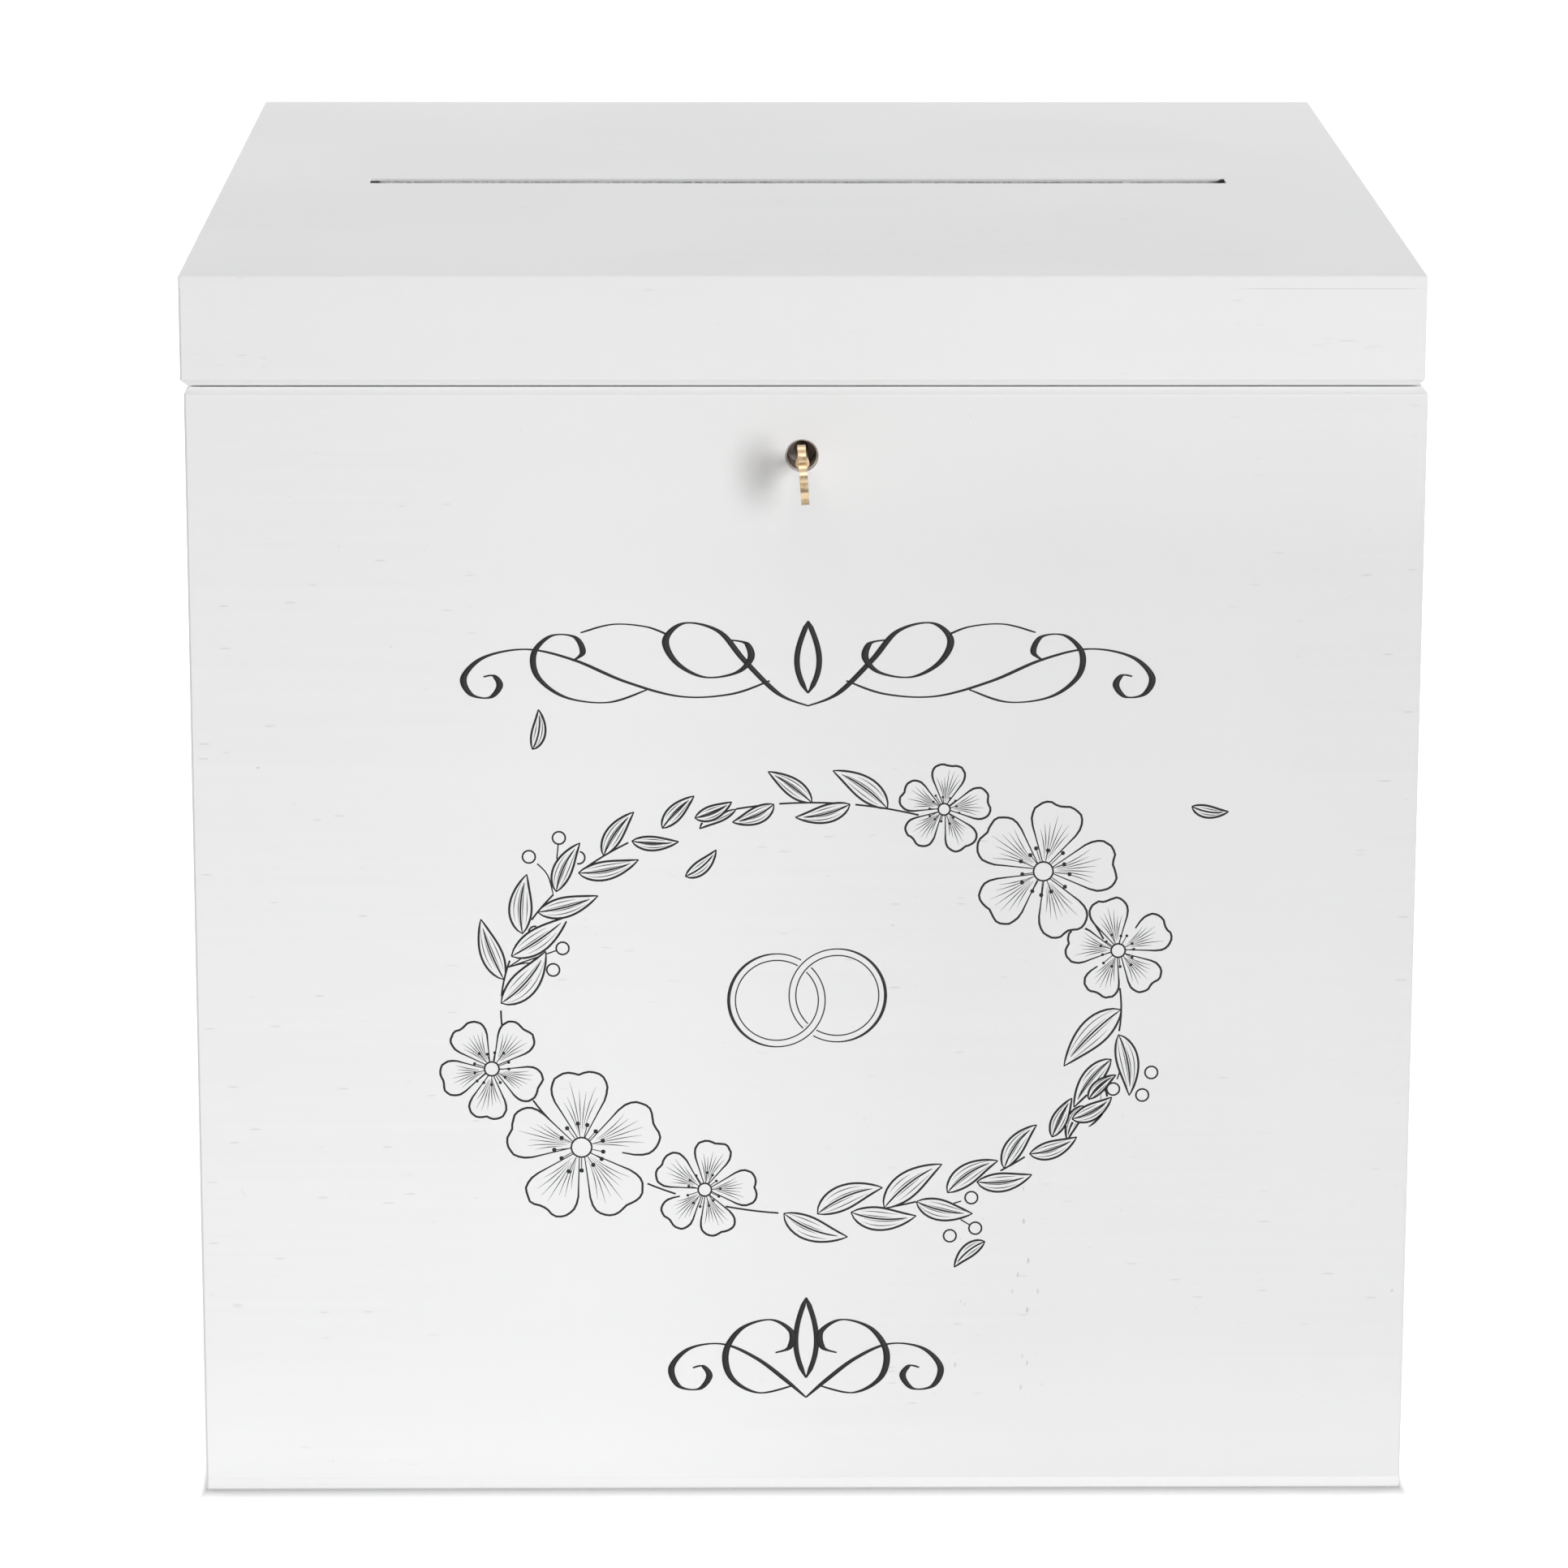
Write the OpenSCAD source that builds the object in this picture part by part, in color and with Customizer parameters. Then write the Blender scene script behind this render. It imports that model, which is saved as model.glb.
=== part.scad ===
// Wedding card box: a painted wooden box with a slotted, hinged lid and a small key lock.
// The origin is on the floor at the middle of the box, the lock faces -Y and +Z is up.

/* [Box] */
// Outside width, left to right
box_w = 290; // [200:5:400]
// Outside depth, front to back
box_d = 300; // [200:5:400]
// Outside height with the lid closed
box_h = 298; // [200:1:400]
// Thickness of the wall and rail boards
wall_t = 10; // [8:0.5:14]
// Thickness of the bottom panel
bottom_t = 3; // [2:0.5:6]

/* [Lid] */
// Height of the lid, panel included
lid_h = 26.5; // [24:0.5:60]
// Thickness of the panel laid over the lid's rails
lid_panel_t = 3; // [2:0.5:6]
// Gap between the box and the rails of the closed lid
lid_gap = 0.4; // [0.2:0.1:0.8]
// Sideways offset of the lid on the box
lid_shift = -0.8; // [-1.5:0.1:1.5]
// Length of the card slot
slot_l = 218; // [100:1:230]
// Width of the card slot
slot_w = 8; // [5:0.5:15]
// Distance of the slot from the middle of the lid, to the right
slot_x = 0.8; // [-10:0.1:10]
// Distance of the slot from the middle of the lid, towards the back
slot_y = 0; // [-40:1:40]

/* [Edges] */
// Chamfer on both edges of the joint between lid and box
groove_c = 1.5; // [0.5:0.1:2.5]
// Sanded arris on the outer edges
arris = 0.5; // [0.2:0.1:1]

/* [Hinges] */
// Width of one hinge
hinge_w = 30; // [20:1:50]
// Distance of each hinge from the nearer side of the box
hinge_inset = 50; // [20:1:60]
// Reach of a leaf from the pin's axis
leaf_h = 12; // [10:0.5:16]
// Thickness of a leaf
leaf_t = 1; // [0.8:0.1:1.2]
// Outside radius of the knuckles
knuckle_r = 2.2; // [2:0.1:2.6]
// Radius of the hinge pin
pin_r = 1; // [0.8:0.05:1.1]
// Gap between neighbouring knuckles
knuckle_gap = 0.3; // [0.2:0.05:0.6]

/* [Lock] */
// Depth of the lock's axis below the joint between lid and box
lock_drop = 16; // [14:0.5:20]
// Sideways offset of the lock from the middle
lock_x = -1.1; // [-20:0.1:20]
// Radius of the steel sleeve that lines the bore in the front wall
sleeve_r = 3.9; // [3.5:0.1:5]
// Wall of the sleeve
sleeve_t = 0.4; // [0.3:0.05:0.8]
// Setback of the sleeve's mouth from the face of the wall
sleeve_setback = 0.8; // [0.2:0.1:2]
// Width of the lock's mounting plate
plate_w = 36; // [34:1:44]
// Height of the lock's mounting plate
plate_h = 22; // [20:1:24]
// Thickness of the mounting plate, the cam and the keeper
plate_t = 1.2; // [1:0.1:1.5]
// Radius of the lock's collar behind the plate
collar_r = 5.5; // [5:0.1:6]
// Length of the collar
collar_l = 7; // [6.5:0.5:10]
// Radius of the rotor
rotor_r = 3.5; // [3.4:0.1:4]
// Reach of the cam from the lock's axis
cam_reach = 14; // [12:0.5:14.5]
// Width of the cam
cam_w = 6; // [5:0.5:7]
// Lean of the key from upright at rest
key_lean = 4; // [0:0.5:8]

/* [Keeper] */
// Width of the keeper
keeper_w = 13; // [11:0.5:16]
// Height of the keeper's foot plate on the lid rail
keeper_foot_h = 14; // [12:0.5:16]
// Gap between the locked cam and the keeper's lip below it
keeper_gap = 0.5; // [0.4:0.1:1]

/* [Key] */
// Radius of the key's round shank
shank_r = 1.45; // [1.4:0.05:1.7]
// Thickness of the bow
bow_t = 1.9; // [1.5:0.1:2.4]
// Height of the bow
bow_h = 14; // [12:0.5:18]
// Distance of the bow's middle from the face of the box
bow_out = 23.6; // [20:0.1:30]
// Height of the flat neck between the bow and the collar
neck_h = 3.4; // [2.5:0.1:4]
// Distance of the key's collar from the face of the box
collar_out = 9.7; // [6:0.1:14]
// Thickness of the bit
bit_t = 1.2; // [1:0.1:1.3]
// Reach of the bit from the key's axis
bit_reach = 2.8; // [2.4:0.1:2.9]

/* [Screws] */
// Shank radius of the wood screws
screw_r = 1; // [0.8:0.05:1.2]
// Head radius of the wood screws
screw_head_r = 2; // [1.7:0.1:2.2]
// Length of the wood screws
screw_l = 7.5; // [6:0.5:7.5]

/* [Hidden] */
$fn = 48;

paint_white = "whitesmoke";
hinge_brass = "darkgoldenrod";
lock_steel = "lightslategray";
key_brass = "burlywood";

fit = 0.05;       // radial clearance of a running fit
press = 0.01;     // radial clearance of a screw or sleeve in its hole
loose = 0.3;      // clearance between parts that pass each other
cut = 1;          // how far a cut runs past a face

// Where the boards lie
half_w = box_w / 2;
half_d = box_d / 2;
joint_z = box_h - lid_h;
rail_z = joint_z + lid_gap;
panel_z = box_h - lid_panel_t;
inner_y = half_d - wall_t;

// Wood screws
screw_edge = 1.6 * screw_head_r;     // distance of a screw from the edge of its plate
screw_point_l = 1.6 * screw_r;
head_rim = 0.1;                      // straight edge of a screw's head
recess_l = 1.24 * screw_head_r;      // cross recess in the head
recess_w = 0.4;
recess_depth = 0.5;

// Hinges
pin_y = half_d + knuckle_r;
knuckle_w = (hinge_w - 2 * knuckle_gap) / 3;
hinge_x = half_w - hinge_inset - hinge_w / 2;
leaf_start = knuckle_r + loose;
pin_dome = 0.35;
leaf_screw_x = hinge_w / 2 - screw_edge;
leaf_screw_z = (leaf_start + leaf_h) / 2;

// Lock, measured from the inner face of the front wall towards the back
lock_z = joint_z - lock_drop;
wall_in = -inner_y;
wall_out = -half_d;
bore_r = sleeve_r + press;
sleeve_bore_r = sleeve_r - sleeve_t;
collar_end = wall_in + plate_t + collar_l;
cam_y = collar_end + loose;
tang = 4.4;               // side of the square tang that drives the cam
cam_screw_r = 1.1;
cam_screw_head_r = 2.9;
cam_screw_head_t = 1.4;
cam_screw_l = 2.6;        // thread behind the cam
cam_screw_slot_w = 0.8;
cam_screw_slot_depth = 0.6;
keyhole_end = 1.2;        // steel left between the keyhole and the cam's screw
keyhole_l = collar_l - cam_screw_l + plate_t - keyhole_end;
plate_screw_x = plate_w / 2 - screw_edge;
plate_screw_z = plate_h / 2 - screw_edge;
plate_round = 2.5;

// Keeper
keeper_side = 2;          // distance of the keeper from the lock's collar, sideways
keeper_x = lock_x + collar_r + keeper_side;
keeper_back = 3.2;        // setback of the hanging strip from the wall behind it
keeper_foot_up = 3.5;     // height of the foot's lower edge above the joint
keeper_foot_z = joint_z + keeper_foot_up;
lip_top = lock_z - cam_w / 2 - keeper_gap;
lip_past = 1.6;           // reach of the lip past the cam
lip_end = cam_y + plate_t + lip_past;
keeper_screw_z = keeper_foot_z + keeper_foot_h / 2;
keeper_screw_x = keeper_w / 2 - screw_edge;

// Key
bow_y = wall_out - bow_out;
lobe_r = bow_h * 0.235;
lobe_off = bow_h / 2 - lobe_r;
lobe_hole_r = lobe_r * 0.48;
key_collar_r = shank_r + 0.15;
key_collar_l = 1.4;
key_collar_y = wall_out - collar_out;
key_clear = 0.1;          // radial clearance of the shank in the rotor
bit_clear = 0.12;
rotor_face = wall_in + loose / 2;
shank_end = rotor_face + keyhole_l - loose;
bit_l = shank_end - rotor_face - loose;
bit_notch_start = bit_l * 0.38;
bit_notch_l = bit_l * 0.24;
bit_notch_floor = 0.4;    // steel left between the notch and the shank

// A box from z0 to z1 whose upright, lower and upper edges are chamfered
module chamfered_box(w, d, z0, z1, c_low, c_high) {
    intersection() {
        rotate([90, 0, 0]) linear_extrude(height = d + 2 * cut, center = true)
            side_profile(w, z0, z1, c_low, c_high);
        rotate([90, 0, 90]) linear_extrude(height = w + 2 * cut, center = true)
            side_profile(d, z0, z1, c_low, c_high);
        translate([0, 0, z0]) linear_extrude(height = z1 - z0) plan_profile(w, d);
    }
}

module side_profile(w, z0, z1, c_low, c_high) {
    h = w / 2;
    polygon([[-h + c_low, z0], [h - c_low, z0], [h, z0 + c_low], [h, z1 - c_high],
             [h - c_high, z1], [-h + c_high, z1], [-h, z1 - c_high], [-h, z0 + c_low]]);
}

module plan_profile(w, d) {
    x = w / 2;
    y = d / 2;
    polygon([[-x + arris, -y], [x - arris, -y], [x, -y + arris], [x, y - arris],
             [x - arris, y], [-x + arris, y], [-x, y - arris], [-x, -y + arris]]);
}

module box_outline() {
    chamfered_box(box_w, box_d, 0, joint_z, arris, groove_c);
}

module lid_outline() {
    chamfered_box(box_w, box_d, rail_z, box_h, groove_c, arris);
}

// Moves a board of the lid to where the lid lies on the box
module on_lid() {
    translate([lid_shift, 0, 0]) children();
}

// A board across the front or back between heights z0 and z1
module cross_board(side, z0, z1) {
    y0 = side > 0 ? inner_y : -half_d;
    translate([-half_w, y0, z0]) cube([box_w, wall_t, z1 - z0]);
}

// A board along one side, between the two cross boards
module side_board(side, z0, z1) {
    x0 = side > 0 ? half_w - wall_t : -half_w;
    translate([x0, -inner_y, z0]) cube([wall_t, 2 * inner_y, z1 - z0]);
}

// A flat-headed wood screw that points along -Z with its head's face at z = 0
module wood_screw() {
    head_h = screw_head_r - screw_r;
    difference() {
        rotate_extrude()
            polygon([[0, 0], [screw_head_r - head_rim, 0], [screw_head_r, -head_rim], [screw_r, -head_h],
                     [screw_r, -screw_l + screw_point_l], [0, -screw_l]]);
        for (turn = [0, 90]) rotate([0, 0, turn])
            translate([-recess_l / 2, -recess_w / 2, -recess_depth]) cube([recess_l, recess_w, recess_depth + cut]);
    }
}

// The hole that a wood screw fills: countersink, then pilot
module screw_hole() {
    head_h = screw_head_r - screw_r;
    rotate_extrude()
        polygon([[0, cut], [screw_head_r + press, cut], [screw_head_r + press, -head_rim],
                 [screw_r + press, -head_h - press], [screw_r + press, -screw_l], [0, -screw_l - press]]);
}

// Places of the hinge's screws: up is 1 in the lid and -1 in the box
module at_leaf_screws(up) {
    for (side = [-1, 1], edge = [-1, 1])
        translate([side * hinge_x + edge * leaf_screw_x, half_d + leaf_t, joint_z + up * leaf_screw_z])
            rotate([-90, 0, 0]) children();
}

// Places of the lock's screws, driven from inside the box into the front wall
module at_lock_screws() {
    for (x = [-1, 1], z = [-1, 1])
        translate([lock_x + x * plate_screw_x, wall_in + plate_t, lock_z + z * plate_screw_z])
            rotate([-90, 0, 0]) children();
}

module at_keeper_screws() {
    for (x = [-1, 1])
        translate([keeper_x + keeper_w / 2 + x * keeper_screw_x, wall_in + plate_t, keeper_screw_z])
            rotate([-90, 0, 0]) children();
}

// Turns a shape made along Z to lie along Y on the lock's axis, with z = 0 at the given y
module on_lock_axis(y) {
    translate([lock_x, y, lock_z]) rotate([-90, 0, 0]) children();
}

module front_wall() {
    color(paint_white) difference() {
        intersection() {
            box_outline();
            cross_board(-1, bottom_t, joint_z);
        }
        on_lock_axis(wall_out - cut) cylinder(r = bore_r, h = wall_t + 2 * cut);
        at_lock_screws() screw_hole();
    }
}

module back_wall() {
    color(paint_white) difference() {
        intersection() {
            box_outline();
            cross_board(1, bottom_t, joint_z);
        }
        at_leaf_screws(-1) screw_hole();
    }
}

module left_wall() {
    color(paint_white) intersection() {
        box_outline();
        side_board(-1, bottom_t, joint_z);
    }
}

module right_wall() {
    color(paint_white) intersection() {
        box_outline();
        side_board(1, bottom_t, joint_z);
    }
}

module bottom_panel() {
    color(paint_white) intersection() {
        box_outline();
        translate([-half_w, -half_d, 0]) cube([box_w, box_d, bottom_t]);
    }
}

module lid_front_rail() {
    color(paint_white) difference() {
        on_lid() intersection() {
            lid_outline();
            cross_board(-1, rail_z, panel_z);
        }
        at_keeper_screws() screw_hole();
    }
}

module lid_back_rail() {
    color(paint_white) difference() {
        on_lid() intersection() {
            lid_outline();
            cross_board(1, rail_z, panel_z);
        }
        at_leaf_screws(1) screw_hole();
    }
}

module lid_left_rail() {
    color(paint_white) on_lid() intersection() {
        lid_outline();
        side_board(-1, rail_z, panel_z);
    }
}

module lid_right_rail() {
    color(paint_white) on_lid() intersection() {
        lid_outline();
        side_board(1, rail_z, panel_z);
    }
}

module lid_top_panel() {
    color(paint_white) on_lid() difference() {
        intersection() {
            lid_outline();
            translate([-half_w, -half_d, panel_z]) cube([box_w, box_d, lid_panel_t]);
        }
        translate([slot_x - slot_l / 2, slot_y - slot_w / 2, panel_z - cut])
            cube([slot_l, slot_w, lid_panel_t + 2 * cut]);
    }
}

// One knuckle, from x0 on, with the strip of leaf that joins it; up is 1 or -1
module knuckle(x0, up) {
    rotate([90, 0, 90]) translate([0, 0, x0]) linear_extrude(height = knuckle_w) difference() {
        union() {
            circle(r = knuckle_r);
            translate([-knuckle_r, up > 0 ? 0 : -leaf_start]) square([leaf_t, leaf_start]);
        }
        circle(r = pin_r + fit);
    }
}

// A leaf on the back of the box, about its own pin axis, with knuckles at the given places
module hinge_leaf(up, places) {
    union() {
        translate([-hinge_w / 2, -knuckle_r, up > 0 ? leaf_start : -leaf_h])
            cube([hinge_w, leaf_t, leaf_h - leaf_start]);
        for (place = places)
            knuckle(-hinge_w / 2 + place * (knuckle_w + knuckle_gap), up);
    }
}

// A leaf at one side of the box, drilled for its screws
module placed_leaf(side, up, places) {
    color(hinge_brass) difference() {
        translate([side * hinge_x, pin_y, joint_z]) hinge_leaf(up, places);
        at_leaf_screws(up) screw_hole();
    }
}

module placed_pin(side) {
    end = hinge_w / 2;
    color(hinge_brass) translate([side * hinge_x, pin_y, joint_z]) rotate([0, 90, 0])
        rotate_extrude()
            polygon([[0, -end - pin_dome], [pin_r - pin_dome, -end - pin_dome], [pin_r, -end],
                     [pin_r, end], [pin_r - pin_dome, end + pin_dome], [0, end + pin_dome]]);
}

module left_hinge_box_leaf() { placed_leaf(-1, -1, [0, 2]); }
module left_hinge_lid_leaf() { placed_leaf(-1, 1, [1]); }
module left_hinge_pin() { placed_pin(-1); }
module right_hinge_box_leaf() { placed_leaf(1, -1, [0, 2]); }
module right_hinge_lid_leaf() { placed_leaf(1, 1, [1]); }
module right_hinge_pin() { placed_pin(1); }

module hinge_box_screws() {
    color(hinge_brass) at_leaf_screws(-1) wood_screw();
}

module hinge_lid_screws() {
    color(hinge_brass) at_leaf_screws(1) wood_screw();
}

// Mounting plate with rounded corners, the sleeve through the wall and the collar round the rotor
module lock_housing() {
    color(lock_steel) difference() {
        union() {
            on_lock_axis(wall_in) linear_extrude(height = plate_t) round_plate(plate_w, plate_h, plate_round);
            on_lock_axis(wall_out + sleeve_setback) cylinder(r = sleeve_r, h = wall_t - sleeve_setback + plate_t);
            on_lock_axis(wall_in) cylinder(r = collar_r, h = plate_t + collar_l);
        }
        on_lock_axis(wall_out - cut) cylinder(r = sleeve_bore_r, h = wall_t + 2 * cut);
        on_lock_axis(wall_in) cylinder(r = rotor_r + fit, h = plate_t + collar_l + cut);
        at_lock_screws() screw_hole();
    }
}

module round_plate(w, h, r) {
    union() {
        square([w - 2 * r, h], center = true);
        square([w, h - 2 * r], center = true);
        for (x = [-1, 1], y = [-1, 1]) translate([x * (w / 2 - r), y * (h / 2 - r)]) circle(r = r);
    }
}

// Turns what moves with the key to its rest lean about the lock's axis
module leaned() {
    translate([lock_x, 0, lock_z]) rotate([0, -key_lean, 0]) translate([-lock_x, 0, -lock_z]) children();
}

module lock_rotor() {
    body_l = collar_end - rotor_face + loose;
    color(lock_steel) leaned() difference() {
        union() {
            on_lock_axis(rotor_face) cylinder(r = rotor_r, h = body_l);
            on_lock_axis(rotor_face + body_l - cut) linear_extrude(height = plate_t + cut)
                square(tang, center = true);
        }
        on_lock_axis(rotor_face - cut) cylinder(r = shank_r + key_clear, h = keyhole_l + cut);
        translate([lock_x - bit_t / 2 - bit_clear, rotor_face - cut, lock_z - bit_reach - bit_clear])
            cube([bit_t + 2 * bit_clear, keyhole_l + cut, bit_reach]);
        on_lock_axis(cam_y + plate_t - cam_screw_l) cylinder(r = cam_screw_r + press, h = cam_screw_l + cut);
    }
}

module lock_cam() {
    color(lock_steel) leaned() difference() {
        union() {
            on_lock_axis(cam_y) cylinder(r = collar_r, h = plate_t);
            translate([lock_x - cam_w / 2, cam_y, lock_z]) cube([cam_w, plate_t, cam_reach - cam_w / 2]);
            translate([0, 0, cam_reach - cam_w / 2]) on_lock_axis(cam_y) cylinder(r = cam_w / 2, h = plate_t);
        }
        on_lock_axis(cam_y - cut) linear_extrude(height = plate_t + 2 * cut)
            square(tang + 2 * fit, center = true);
    }
}

module cam_screw() {
    y0 = cam_y + plate_t;
    color(lock_steel) leaned() difference() {
        union() {
            on_lock_axis(y0 - cam_screw_l + loose) cylinder(r = cam_screw_r, h = cam_screw_l);
            on_lock_axis(y0) rotate_extrude()
                polygon([[0, 0], [cam_screw_head_r, 0], [cam_screw_head_r, cam_screw_head_t * 0.6],
                         [cam_screw_head_r * 0.7, cam_screw_head_t], [0, cam_screw_head_t]]);
        }
        translate([lock_x - cam_screw_head_r, y0 + cam_screw_head_t - cam_screw_slot_depth,
                   lock_z - cam_screw_slot_w / 2])
            cube([2 * cam_screw_head_r, cut + cam_screw_slot_depth, cam_screw_slot_w]);
    }
}

module lock_screws() {
    color(lock_steel) at_lock_screws() wood_screw();
}

// Bent strip: foot on the rail, step inwards, hanging part, and the lip below the locked cam
module keeper_plate() {
    back = wall_in;
    hang = wall_in + keeper_back;
    color(lock_steel) difference() {
        translate([keeper_x, 0, 0]) rotate([90, 0, 90]) linear_extrude(height = keeper_w)
            polygon([[back, keeper_foot_z + keeper_foot_h], [back, keeper_foot_z - plate_t], [hang, keeper_foot_z - plate_t],
                     [hang, lip_top - plate_t], [lip_end, lip_top - plate_t], [lip_end, lip_top],
                     [hang + plate_t, lip_top], [hang + plate_t, keeper_foot_z],
                     [back + plate_t, keeper_foot_z], [back + plate_t, keeper_foot_z + keeper_foot_h]]);
        at_keeper_screws() screw_hole();
    }
}

module keeper_screws() {
    color(lock_steel) at_keeper_screws() wood_screw();
}

// Key along the lock's axis: three-lobed bow, flat neck, collar, round shank and bit
module key() {
    color(key_brass) leaned() {
        difference() {
            union() {
                translate([lock_x - bow_t / 2, bow_y, lock_z]) rotate([90, 0, 90])
                    linear_extrude(height = bow_t) bow_outline();
                translate([lock_x - bow_t / 2, bow_y, lock_z - neck_h / 2])
                    cube([bow_t, key_collar_y + key_collar_l - bow_y, neck_h]);
                on_lock_axis(key_collar_y) cylinder(r = shank_r, h = shank_end - key_collar_y);
                on_lock_axis(key_collar_y) cylinder(r = key_collar_r, h = key_collar_l);
                translate([lock_x - bit_t / 2, shank_end - bit_l, lock_z - bit_reach])
                    cube([bit_t, bit_l, bit_reach]);
            }
            translate([lock_x - cut - bow_t, bow_y, lock_z]) rotate([90, 0, 90])
                linear_extrude(height = 2 * (bow_t + cut)) bow_holes();
            translate([lock_x - cut, shank_end - bit_l + bit_notch_start, lock_z - bit_reach - cut])
                cube([2 * cut, bit_notch_l, cut + bit_reach - shank_r - bit_notch_floor]);
        }
    }
}

// The bow in its own plane, with the shank leaving towards +X of the sketch
module bow_outline() {
    union() {
        for (turn = [90, 180, 270]) rotate([0, 0, turn]) translate([lobe_off, 0]) circle(r = lobe_r);
        circle(r = lobe_off);
    }
}

module bow_holes() {
    for (turn = [90, 180, 270]) rotate([0, 0, turn]) translate([lobe_off, 0]) circle(r = lobe_hole_r);
}

front_wall();
back_wall();
left_wall();
right_wall();
bottom_panel();
lid_front_rail();
lid_back_rail();
lid_left_rail();
lid_right_rail();
lid_top_panel();
left_hinge_box_leaf();
left_hinge_lid_leaf();
left_hinge_pin();
right_hinge_box_leaf();
right_hinge_lid_leaf();
right_hinge_pin();
hinge_box_screws();
hinge_lid_screws();
lock_housing();
lock_rotor();
lock_cam();
cam_screw();
lock_screws();
keeper_plate();
keeper_screws();
key();
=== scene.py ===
import bpy
import bmesh
import math
import random
from mathutils import Matrix, Vector, noise


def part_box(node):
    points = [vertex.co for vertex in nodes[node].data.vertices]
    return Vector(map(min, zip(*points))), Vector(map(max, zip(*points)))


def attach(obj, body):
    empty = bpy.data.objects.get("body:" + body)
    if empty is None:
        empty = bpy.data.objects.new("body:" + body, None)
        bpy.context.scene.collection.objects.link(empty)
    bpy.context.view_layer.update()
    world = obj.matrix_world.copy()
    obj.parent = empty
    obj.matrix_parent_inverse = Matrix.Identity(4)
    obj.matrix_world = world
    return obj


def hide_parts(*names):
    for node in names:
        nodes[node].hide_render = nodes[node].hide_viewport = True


# A white painted card box with a slotted, hinged lid and a small key lock, in metres.
# The lock faces -Y, the floor is z = 0. Settings in millimetres are multiplied by mm.

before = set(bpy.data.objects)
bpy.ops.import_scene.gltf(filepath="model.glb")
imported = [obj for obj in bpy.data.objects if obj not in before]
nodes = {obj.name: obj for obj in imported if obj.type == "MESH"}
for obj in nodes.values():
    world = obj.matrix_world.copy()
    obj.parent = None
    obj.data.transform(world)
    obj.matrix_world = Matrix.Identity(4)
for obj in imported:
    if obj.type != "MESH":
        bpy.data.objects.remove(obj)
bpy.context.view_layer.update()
scene = bpy.context.scene
mm = 0.001
print("frame loaded:", len(nodes), "nodes")


def inMetres(values):
    # settings given in millimetres
    return [value * mm for value in values]


# small helpers for meshes

def linkObject(name, data):
    piece = bpy.data.objects.new(name, data)
    scene.collection.objects.link(piece)
    return piece


def dressPiece(piece, body, material):
    piece.data.materials.clear()
    piece.data.materials.append(material)
    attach(piece, body)


def pieceFrom(bm, name, smoothAngle=None):
    mesh = bpy.data.meshes.new(name)
    bm.to_mesh(mesh)
    bm.free()
    if smoothAngle:
        for face in mesh.polygons:
            face.use_smooth = True
        mesh.set_sharp_from_angle(angle=math.radians(smoothAngle))
    return linkObject(name, mesh)


def meshOf(piece):
    # the mesh that an object's modifiers or curve settings give
    bpy.context.view_layer.update()
    return bpy.data.meshes.new_from_object(piece.evaluated_get(bpy.context.evaluated_depsgraph_get()))


edgeFinish = dict(
    segments=2,
    bevelAngle=35,          # degrees between faces whose shared edge is softened
    smoothAngle=30,
    flatAngle=0.5,          # degrees up to which faces count as one flat face
    merge=1e-6,             # metres
)


def finishedCopy(nodeName, body, material, softEdge):
    # the same solid with its doubles merged, its flat faces joined and its edges softened
    bm = bmesh.new()
    bm.from_mesh(nodes[nodeName].data)
    bmesh.ops.remove_doubles(bm, verts=bm.verts, dist=edgeFinish["merge"])
    flat = math.radians(edgeFinish["flatAngle"])
    bmesh.ops.dissolve_limit(bm, angle_limit=flat, verts=bm.verts, edges=bm.edges)
    piece = pieceFrom(bm, nodeName + "_finished", edgeFinish["smoothAngle"])
    dressPiece(piece, body, material)
    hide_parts(nodeName)
    if softEdge:
        bevel = piece.modifiers.new("softEdges", "BEVEL")
        bevel.width = softEdge
        bevel.segments = edgeFinish["segments"]
        bevel.limit_method = "ANGLE"
        bevel.angle_limit = math.radians(edgeFinish["bevelAngle"])
        bevel.harden_normals = True


# small helpers for shader trees

def addNode(tree, kind, inputs=None, **fields):
    node = tree.nodes.new(kind)
    for name, value in fields.items():
        setattr(node, name, value)
    for name, value in (inputs or {}).items():
        if isinstance(value, bpy.types.NodeSocket):
            tree.links.new(value, node.inputs[name])
        else:
            node.inputs[name].default_value = value
    return node


def calc(tree, operation, *values):
    return addNode(tree, "ShaderNodeMath", dict(enumerate(values)), operation=operation).outputs[0]


def multiplyAdd(tree, value, factor, rest):
    return calc(tree, "MULTIPLY_ADD", value, factor, rest)


def product(tree, first, *others):
    for other in others:
        first = calc(tree, "MULTIPLY", first, other)
    return first


def distance(tree, value, place):
    return calc(tree, "ABSOLUTE", calc(tree, "SUBTRACT", value, place))


def vectorCalc(tree, operation, *values, output=0):
    node = addNode(tree, "ShaderNodeVectorMath", dict(enumerate(values)), operation=operation)
    return node.outputs[output]


def splitVector(tree, vector):
    return addNode(tree, "ShaderNodeSeparateXYZ", {0: vector}).outputs


def stretched(tree, vector, scale):
    return addNode(tree, "ShaderNodeMapping", {"Vector": vector, "Scale": scale}).outputs[0]


def noiseAt(tree, place, scale, detail, roughness=0.5, distortion=0.0, output="Fac"):
    inputs = {"Vector": place, "Scale": scale, "Detail": detail, "Roughness": roughness,
              "Distortion": distortion}
    return addNode(tree, "ShaderNodeTexNoise", inputs).outputs[output]


def ramp(tree, value, low, high, fromLow=0.0, fromHigh=1.0, smooth=True):
    inputs = {"Value": value, "From Min": fromLow, "From Max": fromHigh, "To Min": low, "To Max": high}
    kind = "SMOOTHSTEP" if smooth else "LINEAR"
    return addNode(tree, "ShaderNodeMapRange", inputs, interpolation_type=kind).outputs["Result"]


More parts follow.
